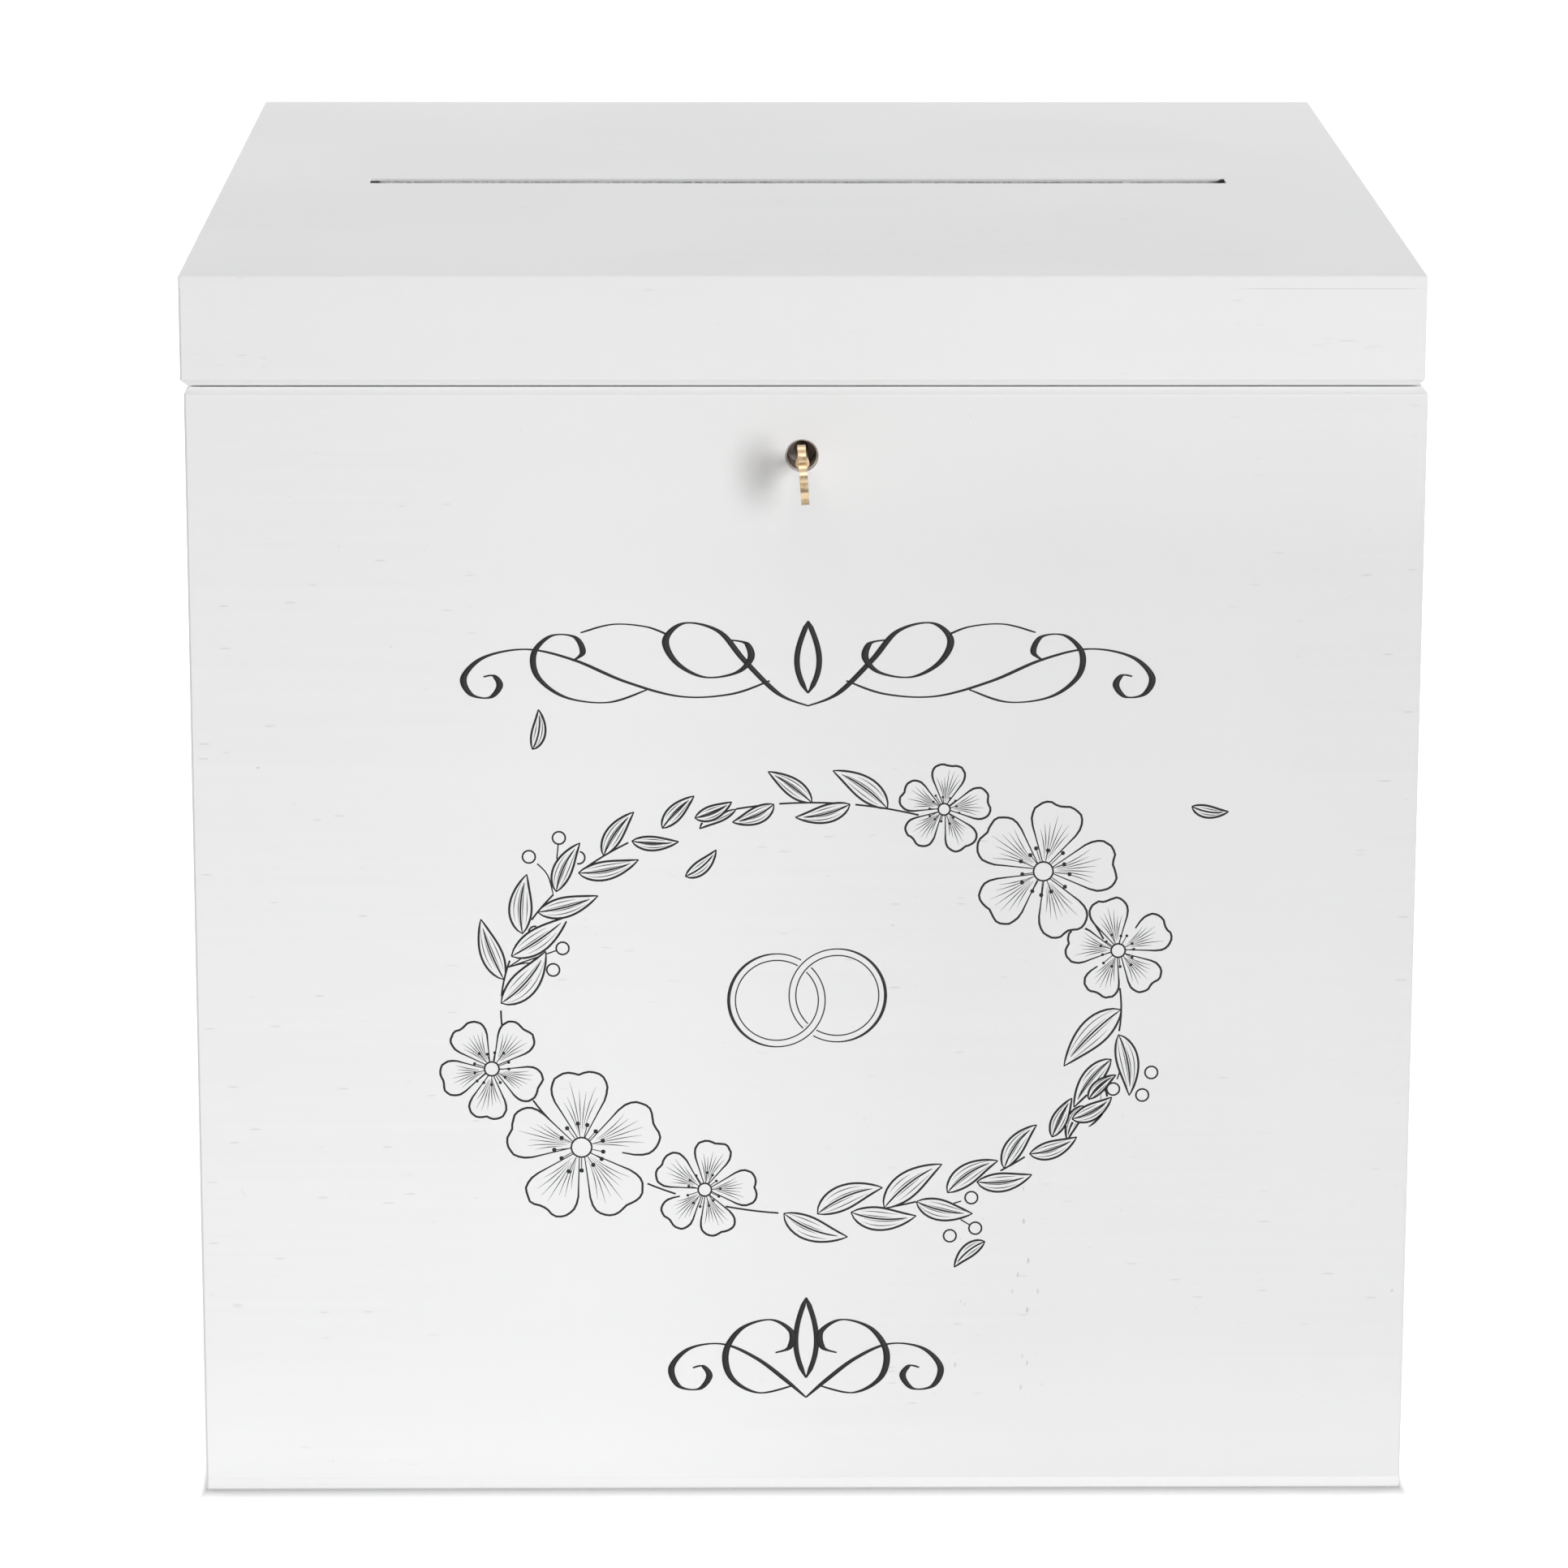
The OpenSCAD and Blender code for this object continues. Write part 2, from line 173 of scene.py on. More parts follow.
def within(tree, value, low, high, soft):
    rise = ramp(tree, value, 0, 1, low - soft, low + soft)
    return product(tree, rise, ramp(tree, value, 1, 0, high - soft, high + soft))


def blendColours(tree, share, first, second, mode="MIX"):
    # the Mix node keeps its colours in sockets 6 and 7 and puts their blend out of socket 2
    inputs = {0: share, 6: first, 7: second}
    return addNode(tree, "ShaderNodeMix", inputs, data_type="RGBA", blend_type=mode).outputs[2]


def newGroup(name, inputs, outputs):
    group = bpy.data.node_groups.new(name, "ShaderNodeTree")
    for label, value in {"Vector": (0, 0, 0), **inputs}.items():
        kind = "NodeSocketVector" if isinstance(value, tuple) else "NodeSocketFloat"
        group.interface.new_socket(label, in_out="INPUT", socket_type=kind).default_value = value
    for label in outputs:
        group.interface.new_socket(label, in_out="OUTPUT", socket_type="NodeSocketFloat")
    return group, group.nodes.new("NodeGroupInput").outputs, group.nodes.new("NodeGroupOutput").inputs


def useGroup(tree, group, inputs):
    return addNode(tree, "ShaderNodeGroup", inputs, node_tree=group).outputs


def emptyMaterial(name):
    material = bpy.data.materials.new(name)
    material.use_nodes = True
    tree = material.node_tree
    tree.nodes.clear()
    place = addNode(tree, "ShaderNodeTexCoord").outputs["Object"]
    return material, tree, tree.nodes.new("ShaderNodeOutputMaterial"), place


def newMaterial(name):
    material, tree, output, place = emptyMaterial(name)
    surface = tree.nodes.new("ShaderNodeBsdfPrincipled")
    tree.links.new(surface.outputs[0], output.inputs["Surface"])
    return material, tree, surface.inputs, place


def addBump(tree, surface, height, strength, reach):
    inputs = {"Height": height, "Strength": strength, "Distance": reach * mm}
    tree.links.new(addNode(tree, "ShaderNodeBump", inputs).outputs[0], surface["Normal"])


def grey(value, warm=0.0):
    return (value * (1 + warm), value, value * (1 - warm), 1)


# effects that several finishes share

def makeGrainGroup():
    # fine streaks that run one way, and the broad figure under them
    inputs = {"Stretch": (12, 500, 500), "Sway": 0.35}
    group, given, result = newGroup("woodGrain", inputs, ["Streaks", "Figure", "Height"])
    inputs = {0: noiseAt(group, given["Vector"], 9, 2, output="Color"), "Scale": given["Sway"]}
    sway = addNode(group, "ShaderNodeVectorMath", inputs, operation="SCALE").outputs[0]
    where = vectorCalc(group, "ADD", stretched(group, given["Vector"], given["Stretch"]), sway)
    fine = noiseAt(group, where, 1.0, 4, 0.62)
    broad = noiseAt(group, where, 0.17, 3, 0.55)
    streaks = ramp(group, fine, 0, 1, 0.32, 0.68)
    figure = ramp(group, broad, 0, 1, 0.3, 0.7)
    height = multiplyAdd(group, figure, 0.2, product(group, streaks, 0.5))
    group.links.new(streaks, result["Streaks"])
    group.links.new(figure, result["Figure"])
    group.links.new(height, result["Height"])
    return group


def makeFleckGroup():
    # scattered marks: dashes where the cells are stretched, dots where they are even
    inputs = {"Cells": (300, 300, 300), "Share": 0.1, "Reach": 0.3}
    group, given, result = newGroup("flecks", inputs, ["Mask"])
    where = stretched(group, given["Vector"], given["Cells"])
    cells = addNode(group, "ShaderNodeTexVoronoi", {"Vector": where, "Scale": 1.0}, feature="F1").outputs
    pick = addNode(group, "ShaderNodeSeparateColor", {0: cells["Color"]}).outputs
    chosen = calc(group, "LESS_THAN", pick[0], given["Share"])
    size = product(group, given["Reach"], multiplyAdd(group, pick[1], 0.8, 0.4))
    dot = ramp(group, calc(group, "DIVIDE", cells["Distance"], size), 1, 0, 0.45, 1.0)
    group.links.new(product(group, chosen, dot), result["Mask"])
    return group


def makeLineGroup():
    # a broken fine line where a coordinate passes a value, such as a filled joint under paint
    inputs = {"Value": 0, "At": 0, "Half width": 0.1 * mm, "Breaks": 0.5}
    group, given, result = newGroup("jointLine", inputs, ["Mask"])
    wobble = noiseAt(group, given["Vector"], 60, 4)
    shifted = multiplyAdd(group, wobble, 0.2 * mm, -0.1 * mm)
    away = distance(group, calc(group, "ADD", given["Value"], shifted), given["At"])
    line = ramp(group, calc(group, "DIVIDE", away, given["Half width"]), 1, 0, 0.4, 1.0)
    gaps = noiseAt(group, given["Vector"], 23, 3)
    share = multiplyAdd(group, given["Breaks"], 0.5, 0.1)
    shown = ramp(group, calc(group, "SUBTRACT", gaps, share), 0, 1, 0.0, 0.12)
    group.links.new(product(group, line, shown), result["Mask"])
    return group


def makeInsideGroup():
    # 1 on the inner faces of the box and lid, 0 on the outside
    skin = 0.2 * mm
    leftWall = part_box("left_wall")
    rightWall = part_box("right_wall")
    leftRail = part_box("lid_left_rail")
    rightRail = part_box("lid_right_rail")
    lidShift = (leftRail[1][0] + rightRail[0][0] - leftWall[1][0] - rightWall[0][0]) / 2
    group, given, result = newGroup("insideBox", {
        "Half width": rightWall[0][0] + skin,
        "Half depth": rightWall[1][1] + skin,
        "Floor": rightWall[0][2] - skin,
        "Roof": rightRail[1][2] + skin,
    }, ["Mask"])
    at = splitVector(group, given["Vector"])
    inLid = calc(group, "GREATER_THAN", at[2], rightWall[1][2] + skin)
    across = multiplyAdd(group, inLid, -lidShift, at[0])
    mask = product(
        group,
        calc(group, "LESS_THAN", calc(group, "ABSOLUTE", across), given["Half width"]),
        calc(group, "LESS_THAN", calc(group, "ABSOLUTE", at[1]), given["Half depth"]),
        calc(group, "GREATER_THAN", at[2], given["Floor"]),
        calc(group, "LESS_THAN", at[2], given["Roof"]),
    )
    group.links.new(mask, result["Mask"])
    return group


def makeMetalGroup():
    # polishing lines, soft stains and small scuffs on metal
    inputs = {"Stretch": (300, 300, 5000), "Stain": 400}
    group, given, result = newGroup("metalFinish", inputs, ["Lines", "Stains", "Scuffs"])
    lines = noiseAt(group, stretched(group, given["Vector"], given["Stretch"]), 1.0, 3)
    stains = noiseAt(group, given["Vector"], given["Stain"], 4, 0.6)
    scuffs = noiseAt(group, given["Vector"], 2600, 2, distortion=1.2)
    group.links.new(ramp(group, lines, 0, 1, 0.3, 0.7), result["Lines"])
    group.links.new(ramp(group, stains, 0, 1, 0.3, 0.72), result["Stains"])
    group.links.new(ramp(group, scuffs, 0, 1, 0.62, 0.72), result["Scuffs"])
    return group


grainGroup = makeGrainGroup()
fleckGroup = makeFleckGroup()
lineGroup = makeLineGroup()
insideGroup = makeInsideGroup()
metalGroup = makeMetalGroup()
print("shared effects made")


# white paint on wood
paint = dict(
    white=0.86,             # albedo of the full coat
    thin=0.76,              # albedo of the thin coat inside
    wood=(0.56, 0.40, 0.25, 1),
    paleWood=(0.66, 0.50, 0.34, 1),
    woodShow=0.24,          # how far the wood shows through the thin coat
    streakTint=0.012,
    figureTint=0.007,
    fleckTint=0.12,
    stretch=(10, 420),      # scale of the grain along the board and across it
    dashes=dict(cells=(190, 1500), share=0.05, reach=0.3),
    dots=dict(cells=420, share=0.012, reach=0.10),
    patches=11,             # scale of the patches where the grain shows
    roughness=0.46,
    patchRoughness=0.08,
    insideRoughness=0.22,
    specular=0.4,
    roller=900,
    grainBump=0.10,
    rollerBump=0.05,
    fleckBump=0.5,
    bumpReach=0.1,
    softEdge=0.12,          # rounding that the paint leaves on an edge
)


def alongBoard(alongX, pair):
    return (pair[0], pair[1], pair[1]) if alongX else (pair[1], pair[0], pair[1])


def paintFlecks(tree, place, cells, marks):
    return useGroup(tree, fleckGroup, {"Vector": place, "Cells": cells, "Share": marks["share"],
                                       "Reach": marks["reach"]})["Mask"]


def paintMaterial(name, alongX, extras=None):
    material, tree, surface, place = newMaterial(name)
    grain = useGroup(tree, grainGroup, {"Vector": place, "Stretch": alongBoard(alongX, paint["stretch"])})
    dashes = paintFlecks(tree, place, alongBoard(alongX, paint["dashes"]["cells"]), paint["dashes"])
    dots = paintFlecks(tree, place, [paint["dots"]["cells"]] * 3, paint["dots"])
    patchy = ramp(tree, noiseAt(tree, place, paint["patches"], 1), 0, 1, 0.42, 0.62)
    inside = useGroup(tree, insideGroup, {"Vector": place})["Mask"]
    tone = multiplyAdd(tree, grain["Figure"], -paint["figureTint"], 1.0)
    tone = calc(tree, "SUBTRACT", tone, product(tree, grain["Streaks"], patchy, paint["streakTint"]))
    marks = calc(tree, "MAXIMUM", product(tree, dashes, patchy), dots)
    tone = calc(tree, "SUBTRACT", tone, product(tree, marks, paint["fleckTint"]))
    if extras:
        tone = extras(tree, place, tone)
    outer = blendColours(tree, 1.0, grey(paint["white"], -0.001), tone, "MULTIPLY")
    woodTone = blendColours(tree, grain["Figure"], paint["wood"], paint["paleWood"])
    show = product(tree, paint["woodShow"], multiplyAdd(tree, grain["Streaks"], 0.7, 0.35))
    inner = blendColours(tree, show, grey(paint["thin"], 0.01), woodTone)
    tree.links.new(blendColours(tree, inside, outer, inner), surface["Base Color"])
    rough = multiplyAdd(tree, patchy, paint["patchRoughness"], paint["roughness"])
    rough = multiplyAdd(tree, inside, paint["insideRoughness"], rough)
    tree.links.new(rough, surface["Roughness"])
    surface["Specular IOR Level"].default_value = paint["specular"]
    height = product(tree, noiseAt(tree, place, paint["roller"], 1), paint["rollerBump"])
    height = multiplyAdd(tree, grain["Height"], paint["grainBump"], height)
    height = multiplyAdd(tree, marks, -paint["fleckBump"], height)
    addBump(tree, surface, height, 1.0, paint["bumpReach"])
    return material


frontMarks = dict(
    # across, up, half length, half width, turn in degrees, depth of tone
    strokes=[
        (125.7, 282.6, 3.2, 0.22, 2, 0.09),
        (131.4, 281.1, 2.2, 0.2, -9, 0.07),
        (119, 281.6, 2.4, 0.3, 4, 0.04),
        (-129.3, 180.6, 0.5, 0.35, 0, 0.22),
        (-89.8, 0.4, 1.1, 0.5, 0, 0.45),
        (14.3, 93.6, 0.6, 0.3, 90, 0.07),
        (-134.7, 75.6, 1.2, 0.4, 60, 0.06),
        (142.0, 50.4, 0.5, 0.4, 0, 0.16),
        (20.8, 141.9, 0.5, 0.3, 0, 0.12),
    ],
    seam=dict(up=294.9, low=102, high=141, halfWidth=0.16, tone=0.16, breaks=0.35, fade=4),
    # open pores in upright bands: middle, half width, lowest, highest
    pores=[(36.5, 4.5, 30, 74), (53.5, 7.0, 24, 88)],
    poreFade=6,
    poreCells=(800, 800, 340),
    poreMarks=dict(share=0.28, reach=0.26),
    poreTone=0.26,
    # painted shade that darkens the front wall towards its right side, and where that fades below the joint
    paintedRightShade=dict(start=-64, end=68, wander=24, depth=0.085, fade=(42, 8), atJoint=0.4, stop=2),
    skin=0.05,              # how far behind the face still counts as the face
    # painted light: extra white on the chamfers of the joint groove
    arris=0.05,
    arrisHeight=(1.5, 1.9),
)


def filledJoint(tree, place, value, at, look):
    inputs = {"Vector": place, "Value": value, "At": at, "Half width": look["halfWidth"] * mm,
              "Breaks": look["breaks"]}
    return useGroup(tree, lineGroup, inputs)["Mask"]


def strokeMarks(tree, place):
    # scratches and specks: each a flat ellipse with a ragged rim
    wobble = noiseAt(tree, place, 420, 2)
    ragged = multiplyAdd(tree, wobble, 1.3, 0.35)
    total = None
    for across, up, halfLength, halfWidth, turn, depth in frontMarks["strokes"]:
        inputs = {"Vector": place, "Location": (across * mm, 0, up * mm),
                  "Rotation": (0, math.radians(turn), 0), "Scale": (halfLength * mm, 1, halfWidth * mm)}
        moved = addNode(tree, "ShaderNodeMapping", inputs, vector_type="TEXTURE").outputs[0]
        away = vectorCalc(tree, "LENGTH", vectorCalc(tree, "MULTIPLY", moved, (1, 0, 1)), output="Value")
        mark = product(tree, ramp(tree, product(tree, away, ragged), 1, 0, 0.5, 1.0), depth)
        total = calc(tree, "MAXIMUM", total, mark) if total else mark
    return total


def openPores(tree, place, at):
    pores = paintFlecks(tree, place, frontMarks["poreCells"], frontMarks["poreMarks"])
    bands = None
    for middle, halfWidth, low, high in frontMarks["pores"]:
        band = product(tree, within(tree, at[2], low * mm, high * mm, frontMarks["poreFade"] * mm),
                       ramp(tree, distance(tree, at[0], middle * mm), 1, 0, 0, halfWidth * mm))
        bands = calc(tree, "MAXIMUM", bands, band) if bands else band
    return product(tree, pores, bands, frontMarks["poreTone"])


def paintedRightShade(tree, place, at, joint):
    # painted shade: the front wall grows darker towards its right side, less so near the joint
    look = frontMarks["paintedRightShade"]
    cloud = calc(tree, "SUBTRACT", noiseAt(tree, place, 14, 2), 0.5)
    across = multiplyAdd(tree, cloud, look["wander"] * mm, at[0])
    fade = [joint - below for below in inMetres(look["fade"])]
    return product(tree, ramp(tree, across, 0, look["depth"], look["start"] * mm, look["end"] * mm),
                   calc(tree, "LESS_THAN", at[2], joint - look["stop"] * mm),
                   ramp(tree, at[2], 1, look["atJoint"], *fade))


def frontWearShadeAndLight(tree, place, tone):
    # a filled joint, scratches, specks and open pores, all on the faces that look forward, then painted
    # shade towards the right of the front wall and painted light on the groove's chamfers
    at = splitVector(tree, place)
    low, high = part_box("front_wall")
    joint = high[2]
    outside = calc(tree, "LESS_THAN", at[1], low[1] + frontMarks["skin"] * mm)
    seam = frontMarks["seam"]
    line = filledJoint(tree, place, at[2], seam["up"] * mm, seam)
    ends = within(tree, at[0], seam["low"] * mm, seam["high"] * mm, seam["fade"] * mm)
    total = calc(tree, "MAXIMUM", strokeMarks(tree, place), product(tree, line, ends, seam["tone"]))
    total = calc(tree, "MAXIMUM", total, openPores(tree, place, at))
    tone = calc(tree, "SUBTRACT", tone, product(tree, total, outside))
    # painted shade towards the right side of the front wall
    tone = calc(tree, "SUBTRACT", tone, paintedRightShade(tree, place, at, joint))
    # painted light: the chamfers next to the joint are made whiter
    groove = ramp(tree, distance(tree, at[2], joint), 1, 0, *inMetres(frontMarks["arrisHeight"]))
    chamferLightMask = product(tree, groove, calc(tree, "SUBTRACT", 1.0, outside))
    return multiplyAdd(tree, chamferLightMask, frontMarks["arris"], tone)


sideJoint = dict(halfWidth=0.3, breaks=0.45, tone=0.10)


def sideWear(tree, place, tone):
    # the ends of the front and back boards show as fine filled joints on the sides
    deep = calc(tree, "ABSOLUTE", splitVector(tree, place)[1])
    line = filledJoint(tree, place, deep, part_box("right_wall")[1][1], sideJoint)
    return calc(tree, "SUBTRACT", tone, product(tree, line, sideJoint["tone"]))


whiteFront = paintMaterial("whitePaintAlongX", True, frontWearShadeAndLight)
whiteSide = paintMaterial("whitePaintAlongY", False, sideWear)
whitePlain = paintMaterial("whitePaintPlain", True)

boards = [
    ("front_wall", "box", whiteFront),
    ("lid_front_rail", "lid", whiteFront),
    ("back_wall", "box", whitePlain),
    ("lid_back_rail", "lid", whitePlain),
    ("bottom_panel", "box", whitePlain),
    ("left_wall", "box", whiteSide),
    ("right_wall", "box", whiteSide),
    ("lid_left_rail", "lid", whiteSide),
    ("lid_right_rail", "lid", whiteSide),
]
for nodeName, body, material in boards:
    finishedCopy(nodeName, body, material, paint["softEdge"] * mm)
print("boards painted")


# the lid's top panel, with its slot sawn by hand
slotted = dict(
    halfLength=109, halfWidth=4,
    softEdge=0.5,
    steps=620,              # points along the slot
    seed=5,
    # unevenness left by the saw: points per millimetre, spread of the two sides, shift of the seed
    ripples=[(0.9, 7.3, 0), (0.13, 3.1, 4)],
    ripple=0.10,
    chips=(0.55, 5.7, 9),
    chipFrom=0.3,           # noise above which the rim is chipped
    chip=0.8,               # depth of the chips in the rim
    rim=0.42,               # radius that the paint gives the rim
    rimSteps=(1, 0.55, 0.2, 0),
    # the cutter reaches this far below and above the panel
    overBelow=1, overAbove=0.5,
)


def slotNoise(x, side, shape, lift=0):
    pitch, spread, shift = shape
    return noise.noise(Vector((x * pitch, side * spread + lift, slotted["seed"] + shift)))


def slotJitter(x, side, depth):
    # how far the slot's edge lies outside its straight line, at a depth below the top in shares of the rim
    jitter = sum(slotNoise(x, side, shape) * slotted["ripple"] for shape in slotted["ripples"])
    chip = max(0, slotNoise(x, side, slotted["chips"], 2) - slotted["chipFrom"]) * slotted["chip"]
    rounding = 1 - math.sqrt(1 - (1 - depth) ** 2)
    return jitter + rounding * (slotted["rim"] + chip)


def makeSlotCutter(low, high):
    # one plan, drawn out upwards: below the panel, up the rounded rim, and above the panel
    rim = slotted["rim"]
    levels = [(low.z / mm - slotted["overBelow"], 1)]
    levels += [(high.z / mm - depth * rim, depth) for depth in slotted["rimSteps"]]
    levels.append((high.z / mm + slotted["overAbove"], 0))
    bm = bmesh.new()
    bmesh.ops.create_grid(bm, x_segments=slotted["steps"], y_segments=1, size=1)
    for level in range(1, len(levels)):
        faces = [face for face in bm.faces if all(round(vert.co.z) == level - 1 for vert in face.verts)]
        grown = bmesh.ops.extrude_face_region(bm, geom=faces)["geom"]
        lifted = [item for item in grown if isinstance(item, bmesh.types.BMVert)]
        bmesh.ops.translate(bm, vec=(0, 0, 1), verts=lifted)
        if level > 1:
            bmesh.ops.delete(bm, geom=faces, context="FACES")
    # the slot lies about the middle of the box, not of the lid
    boxLow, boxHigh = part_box("front_wall")
    middle = (boxLow[0] + boxHigh[0]) / 2
    for vert in bm.verts:
        height, depth = levels[round(vert.co.z)]
        side = round(vert.co.y)
        x = vert.co.x * slotted["halfLength"]
        grown = slotJitter(x, side, depth)
        if abs(vert.co.x) > 0.9999:
            x += math.copysign(abs(grown), x)
        vert.co = (x * mm + middle, side * (slotted["halfWidth"] + grown) * mm, height * mm)
    bmesh.ops.recalc_face_normals(bm, faces=bm.faces)
    return pieceFrom(bm, "slotCutter")


def makeSlottedPanel(material):
    low, high = [Vector(corner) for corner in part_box("lid_top_panel")]
    bm = bmesh.new()
    place = Matrix.Translation((low + high) / 2) @ Matrix.Diagonal((*(high - low), 1))
    bmesh.ops.create_cube(bm, size=1, matrix=place)
    upper = [edge for edge in bm.edges if max(vert.co.z for vert in edge.verts) > low.z + mm]
    bmesh.ops.bevel(bm, geom=upper, offset=slotted["softEdge"] * mm, offset_type="OFFSET", segments=3,
                    profile=0.5, affect="EDGES", material=-1)
    blank = pieceFrom(bm, "panelBlank")
    cutter = makeSlotCutter(low, high)
    saw = blank.modifiers.new("slot", "BOOLEAN")
    saw.operation = "DIFFERENCE"
    saw.solver = "EXACT"
    saw.object = cutter
    piece = linkObject("slotted_panel", meshOf(blank))
    bpy.data.objects.remove(blank)
    bpy.data.objects.remove(cutter)
    dressPiece(piece, "lid", material)
    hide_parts("lid_top_panel")


slotWall = dict(
    reachOut=1.4,           # how far outside the slot's straight sides its wall may lie
    belowTop=0.06,
    paintDepth=0.78,        # how far down the slot's wall the paint reaches
    paintWander=0.75,
    softPaint=0.22,
    # where the painted shade at the slot's ends begins and is full, from its middle, and how much less
    # paint lies there
    ends=(104.0, 108.5), lessAtEnds=0.15,
    rightEnd=(107.0, 108.4), lessAtRight=0.45,
    sawnToneAndShade=(0.72, 0.30),  # the bare edge where it is palest and darkest
    speckTone=0.4,
    # painted shade: how far the bare edge darkens at the slot's ends
    endShade=0.10,
    run=84.1,               # place of a run of paint over the bare edge
    runWidth=(0.6, 1.1),
    runReach=2.5,
)


def slotWallToneAndShade(tree, place, tone):
    # bare sawn edge below the paint on the slot's wall, its tone partly the edge's own colour and partly
    # painted shade inside the slot, with painted shade darkest at both ends of the slot
    look = slotWall
    at = splitVector(tree, place)
    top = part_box("lid_top_panel")[1][2]
    along, beside = (calc(tree, "ABSOLUTE", at[n]) for n in (0, 1))
    wall = product(
        tree,
        calc(tree, "LESS_THAN", along, (slotted["halfLength"] + look["reachOut"]) * mm),
        calc(tree, "LESS_THAN", beside, (slotted["halfWidth"] + look["reachOut"]) * mm),
        calc(tree, "LESS_THAN", at[2], top - look["belowTop"] * mm),
    )
    depth = product(tree, calc(tree, "SUBTRACT", top, at[2]), 1 / mm)
    wander = noiseAt(tree, place, 760, 5, 0.75)
    slow = noiseAt(tree, place, 38, 2)
    reach = look["paintDepth"]
    for swing in (wander, slow):
        reach = multiplyAdd(tree, calc(tree, "SUBTRACT", swing, 0.5), look["paintWander"], reach)
    ends = ramp(tree, along, 0, 1, *inMetres(look["ends"]))
    rightEnd = ramp(tree, at[0], 0, 1, *inMetres(look["rightEnd"]))
    less = product(tree, ends, look["lessAtEnds"])
    less = multiplyAdd(tree, rightEnd, look["lessAtRight"], less)
    reach = calc(tree, "SUBTRACT", reach, less)
    run = ramp(tree, distance(tree, at[0], look["run"] * mm), 1, 0, *inMetres(look["runWidth"]))
    reach = multiplyAdd(tree, run, look["runReach"], reach)
    bare = product(tree, wall, ramp(tree, calc(tree, "SUBTRACT", depth, reach), 0, 1, 0, look["softPaint"]))
    # the bare edge's tone, which also stands for painted shade inside the slot, darkened at the ends as
    # painted shade
    dark = calc(tree, "ADD", ramp(tree, slow, *look["sawnToneAndShade"], 0.35, 0.65),
                ramp(tree, wander, 0, look["speckTone"], 0.42, 0.7))
    dark = product(tree, dark, ramp(tree, ends, 1, look["endShade"]))
    return addNode(tree, "ShaderNodeMix", {0: bare, 2: tone, 3: dark}, data_type="FLOAT").outputs[0]


makeSlottedPanel(paintMaterial("whitePaintSlotted", True, slotWallToneAndShade))
print("slotted panel made")


# the metals: clean and dull colour, and how strongly the shared finish shows on each
metals = dict(
    brass=dict(colour=(0.62, 0.45, 0.22, 1), dull=(0.34, 0.23, 0.10, 1), roughness=0.34, scuff=0.10,
               metallic=1.0, bump=0.5, stain=0.24),
    keyBrass=dict(colour=(0.66, 0.51, 0.33, 1), dull=(0.25, 0.17, 0.10, 1), roughness=0.24, scuff=0.06,
                  metallic=1.0, bump=0.2, stain=0.45),
    steel=dict(colour=(0.50, 0.49, 0.48, 1), dull=(0.22, 0.20, 0.18, 1), roughness=0.34, scuff=0.12,
               metallic=1.0, bump=0.6, stain=0.5),
    casting=dict(colour=(0.52, 0.475, 0.44, 1), dull=(0.27, 0.235, 0.205, 1), roughness=0.52, scuff=0.12,
                 metallic=0.35, bump=0.9, stain=0.5),
)
metalShares = dict(lineTarnish=0.15, stainRoughness=0.16, lineHeight=0.4, scuffHeight=0.6, bumpReach=0.02)


def metalMaterial(name, look, stretch, extras=None):
    material, tree, surface, place = newMaterial(name)
    share = metalShares
    finish = useGroup(tree, metalGroup, {"Vector": place, "Stretch": stretch})
    tarnish = product(tree, finish["Lines"], share["lineTarnish"])
    tarnish = multiplyAdd(tree, finish["Stains"], look["stain"], tarnish)
    if extras:
        tarnish = extras(tree, place, tarnish)
    tree.links.new(blendColours(tree, tarnish, look["colour"], look["dull"]), surface["Base Color"])
    surface["Metallic"].default_value = look["metallic"]
    rough = multiplyAdd(tree, finish["Stains"], share["stainRoughness"], look["roughness"])
    rough = multiplyAdd(tree, finish["Scuffs"], look["scuff"], rough)
    tree.links.new(rough, surface["Roughness"])
    height = product(tree, finish["Scuffs"], share["scuffHeight"])
    height = multiplyAdd(tree, finish["Lines"], share["lineHeight"], height)
    addBump(tree, surface, height, look["bump"], share["bumpReach"])
    return material


# darker bands on the key's bow: partly tarnish and partly painted shade in the notches between its lobes
bowBandsTarnishAndShade = dict(
    # middle and half height of each band above the bow's middle, and its share
    bands=[(-1.9, 1.7, 0.75), (-5.3, 0.5, 0.6), (1.7, 0.5, 0.35), (6.2, 0.6, 0.3)],
    bandEdge=(0.6, 1.2),
    onBow=(14, 16),          # reaches this far in from the bow's front
)


def keyTarnishAndNotchShade(tree, place, tarnish):
    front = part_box("key")[0][1]
    low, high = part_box("lock_rotor")
    axis = (low[2] + high[2]) / 2
    at = splitVector(tree, place)
    onBow = ramp(tree, at[1], 1, 0, *(front + reach * mm for reach in bowBandsTarnishAndShade["onBow"]))
    uneven = ramp(tree, noiseAt(tree, place, 900, 3), 0.35, 1.0, 0.35, 0.6)
    # each band is tarnish together with painted shade across a notch of the bow
    for up, half, share in bowBandsTarnishAndShade["bands"]:
        away = distance(tree, at[2], axis + up * mm)
        band = ramp(tree, away, share, 0, *(edge * half * mm for edge in bowBandsTarnishAndShade["bandEdge"]))
        tarnish = calc(tree, "MAXIMUM", tarnish, product(tree, band, uneven, onBow))
    return tarnish


hingeBrass = metalMaterial("brassPlate", metals["brass"], (300, 300, 6000))
screwBrass = metalMaterial("brassScrews", metals["brass"], (3000, 3000, 3000))
keyBrass = metalMaterial("keyBrass", metals["keyBrass"], (4000, 700, 4000), keyTarnishAndNotchShade)
lockSteel = metalMaterial("lockSteel", metals["steel"], (5000, 300, 400))
lockCasting = metalMaterial("lockCasting", metals["casting"], (900, 900, 900))

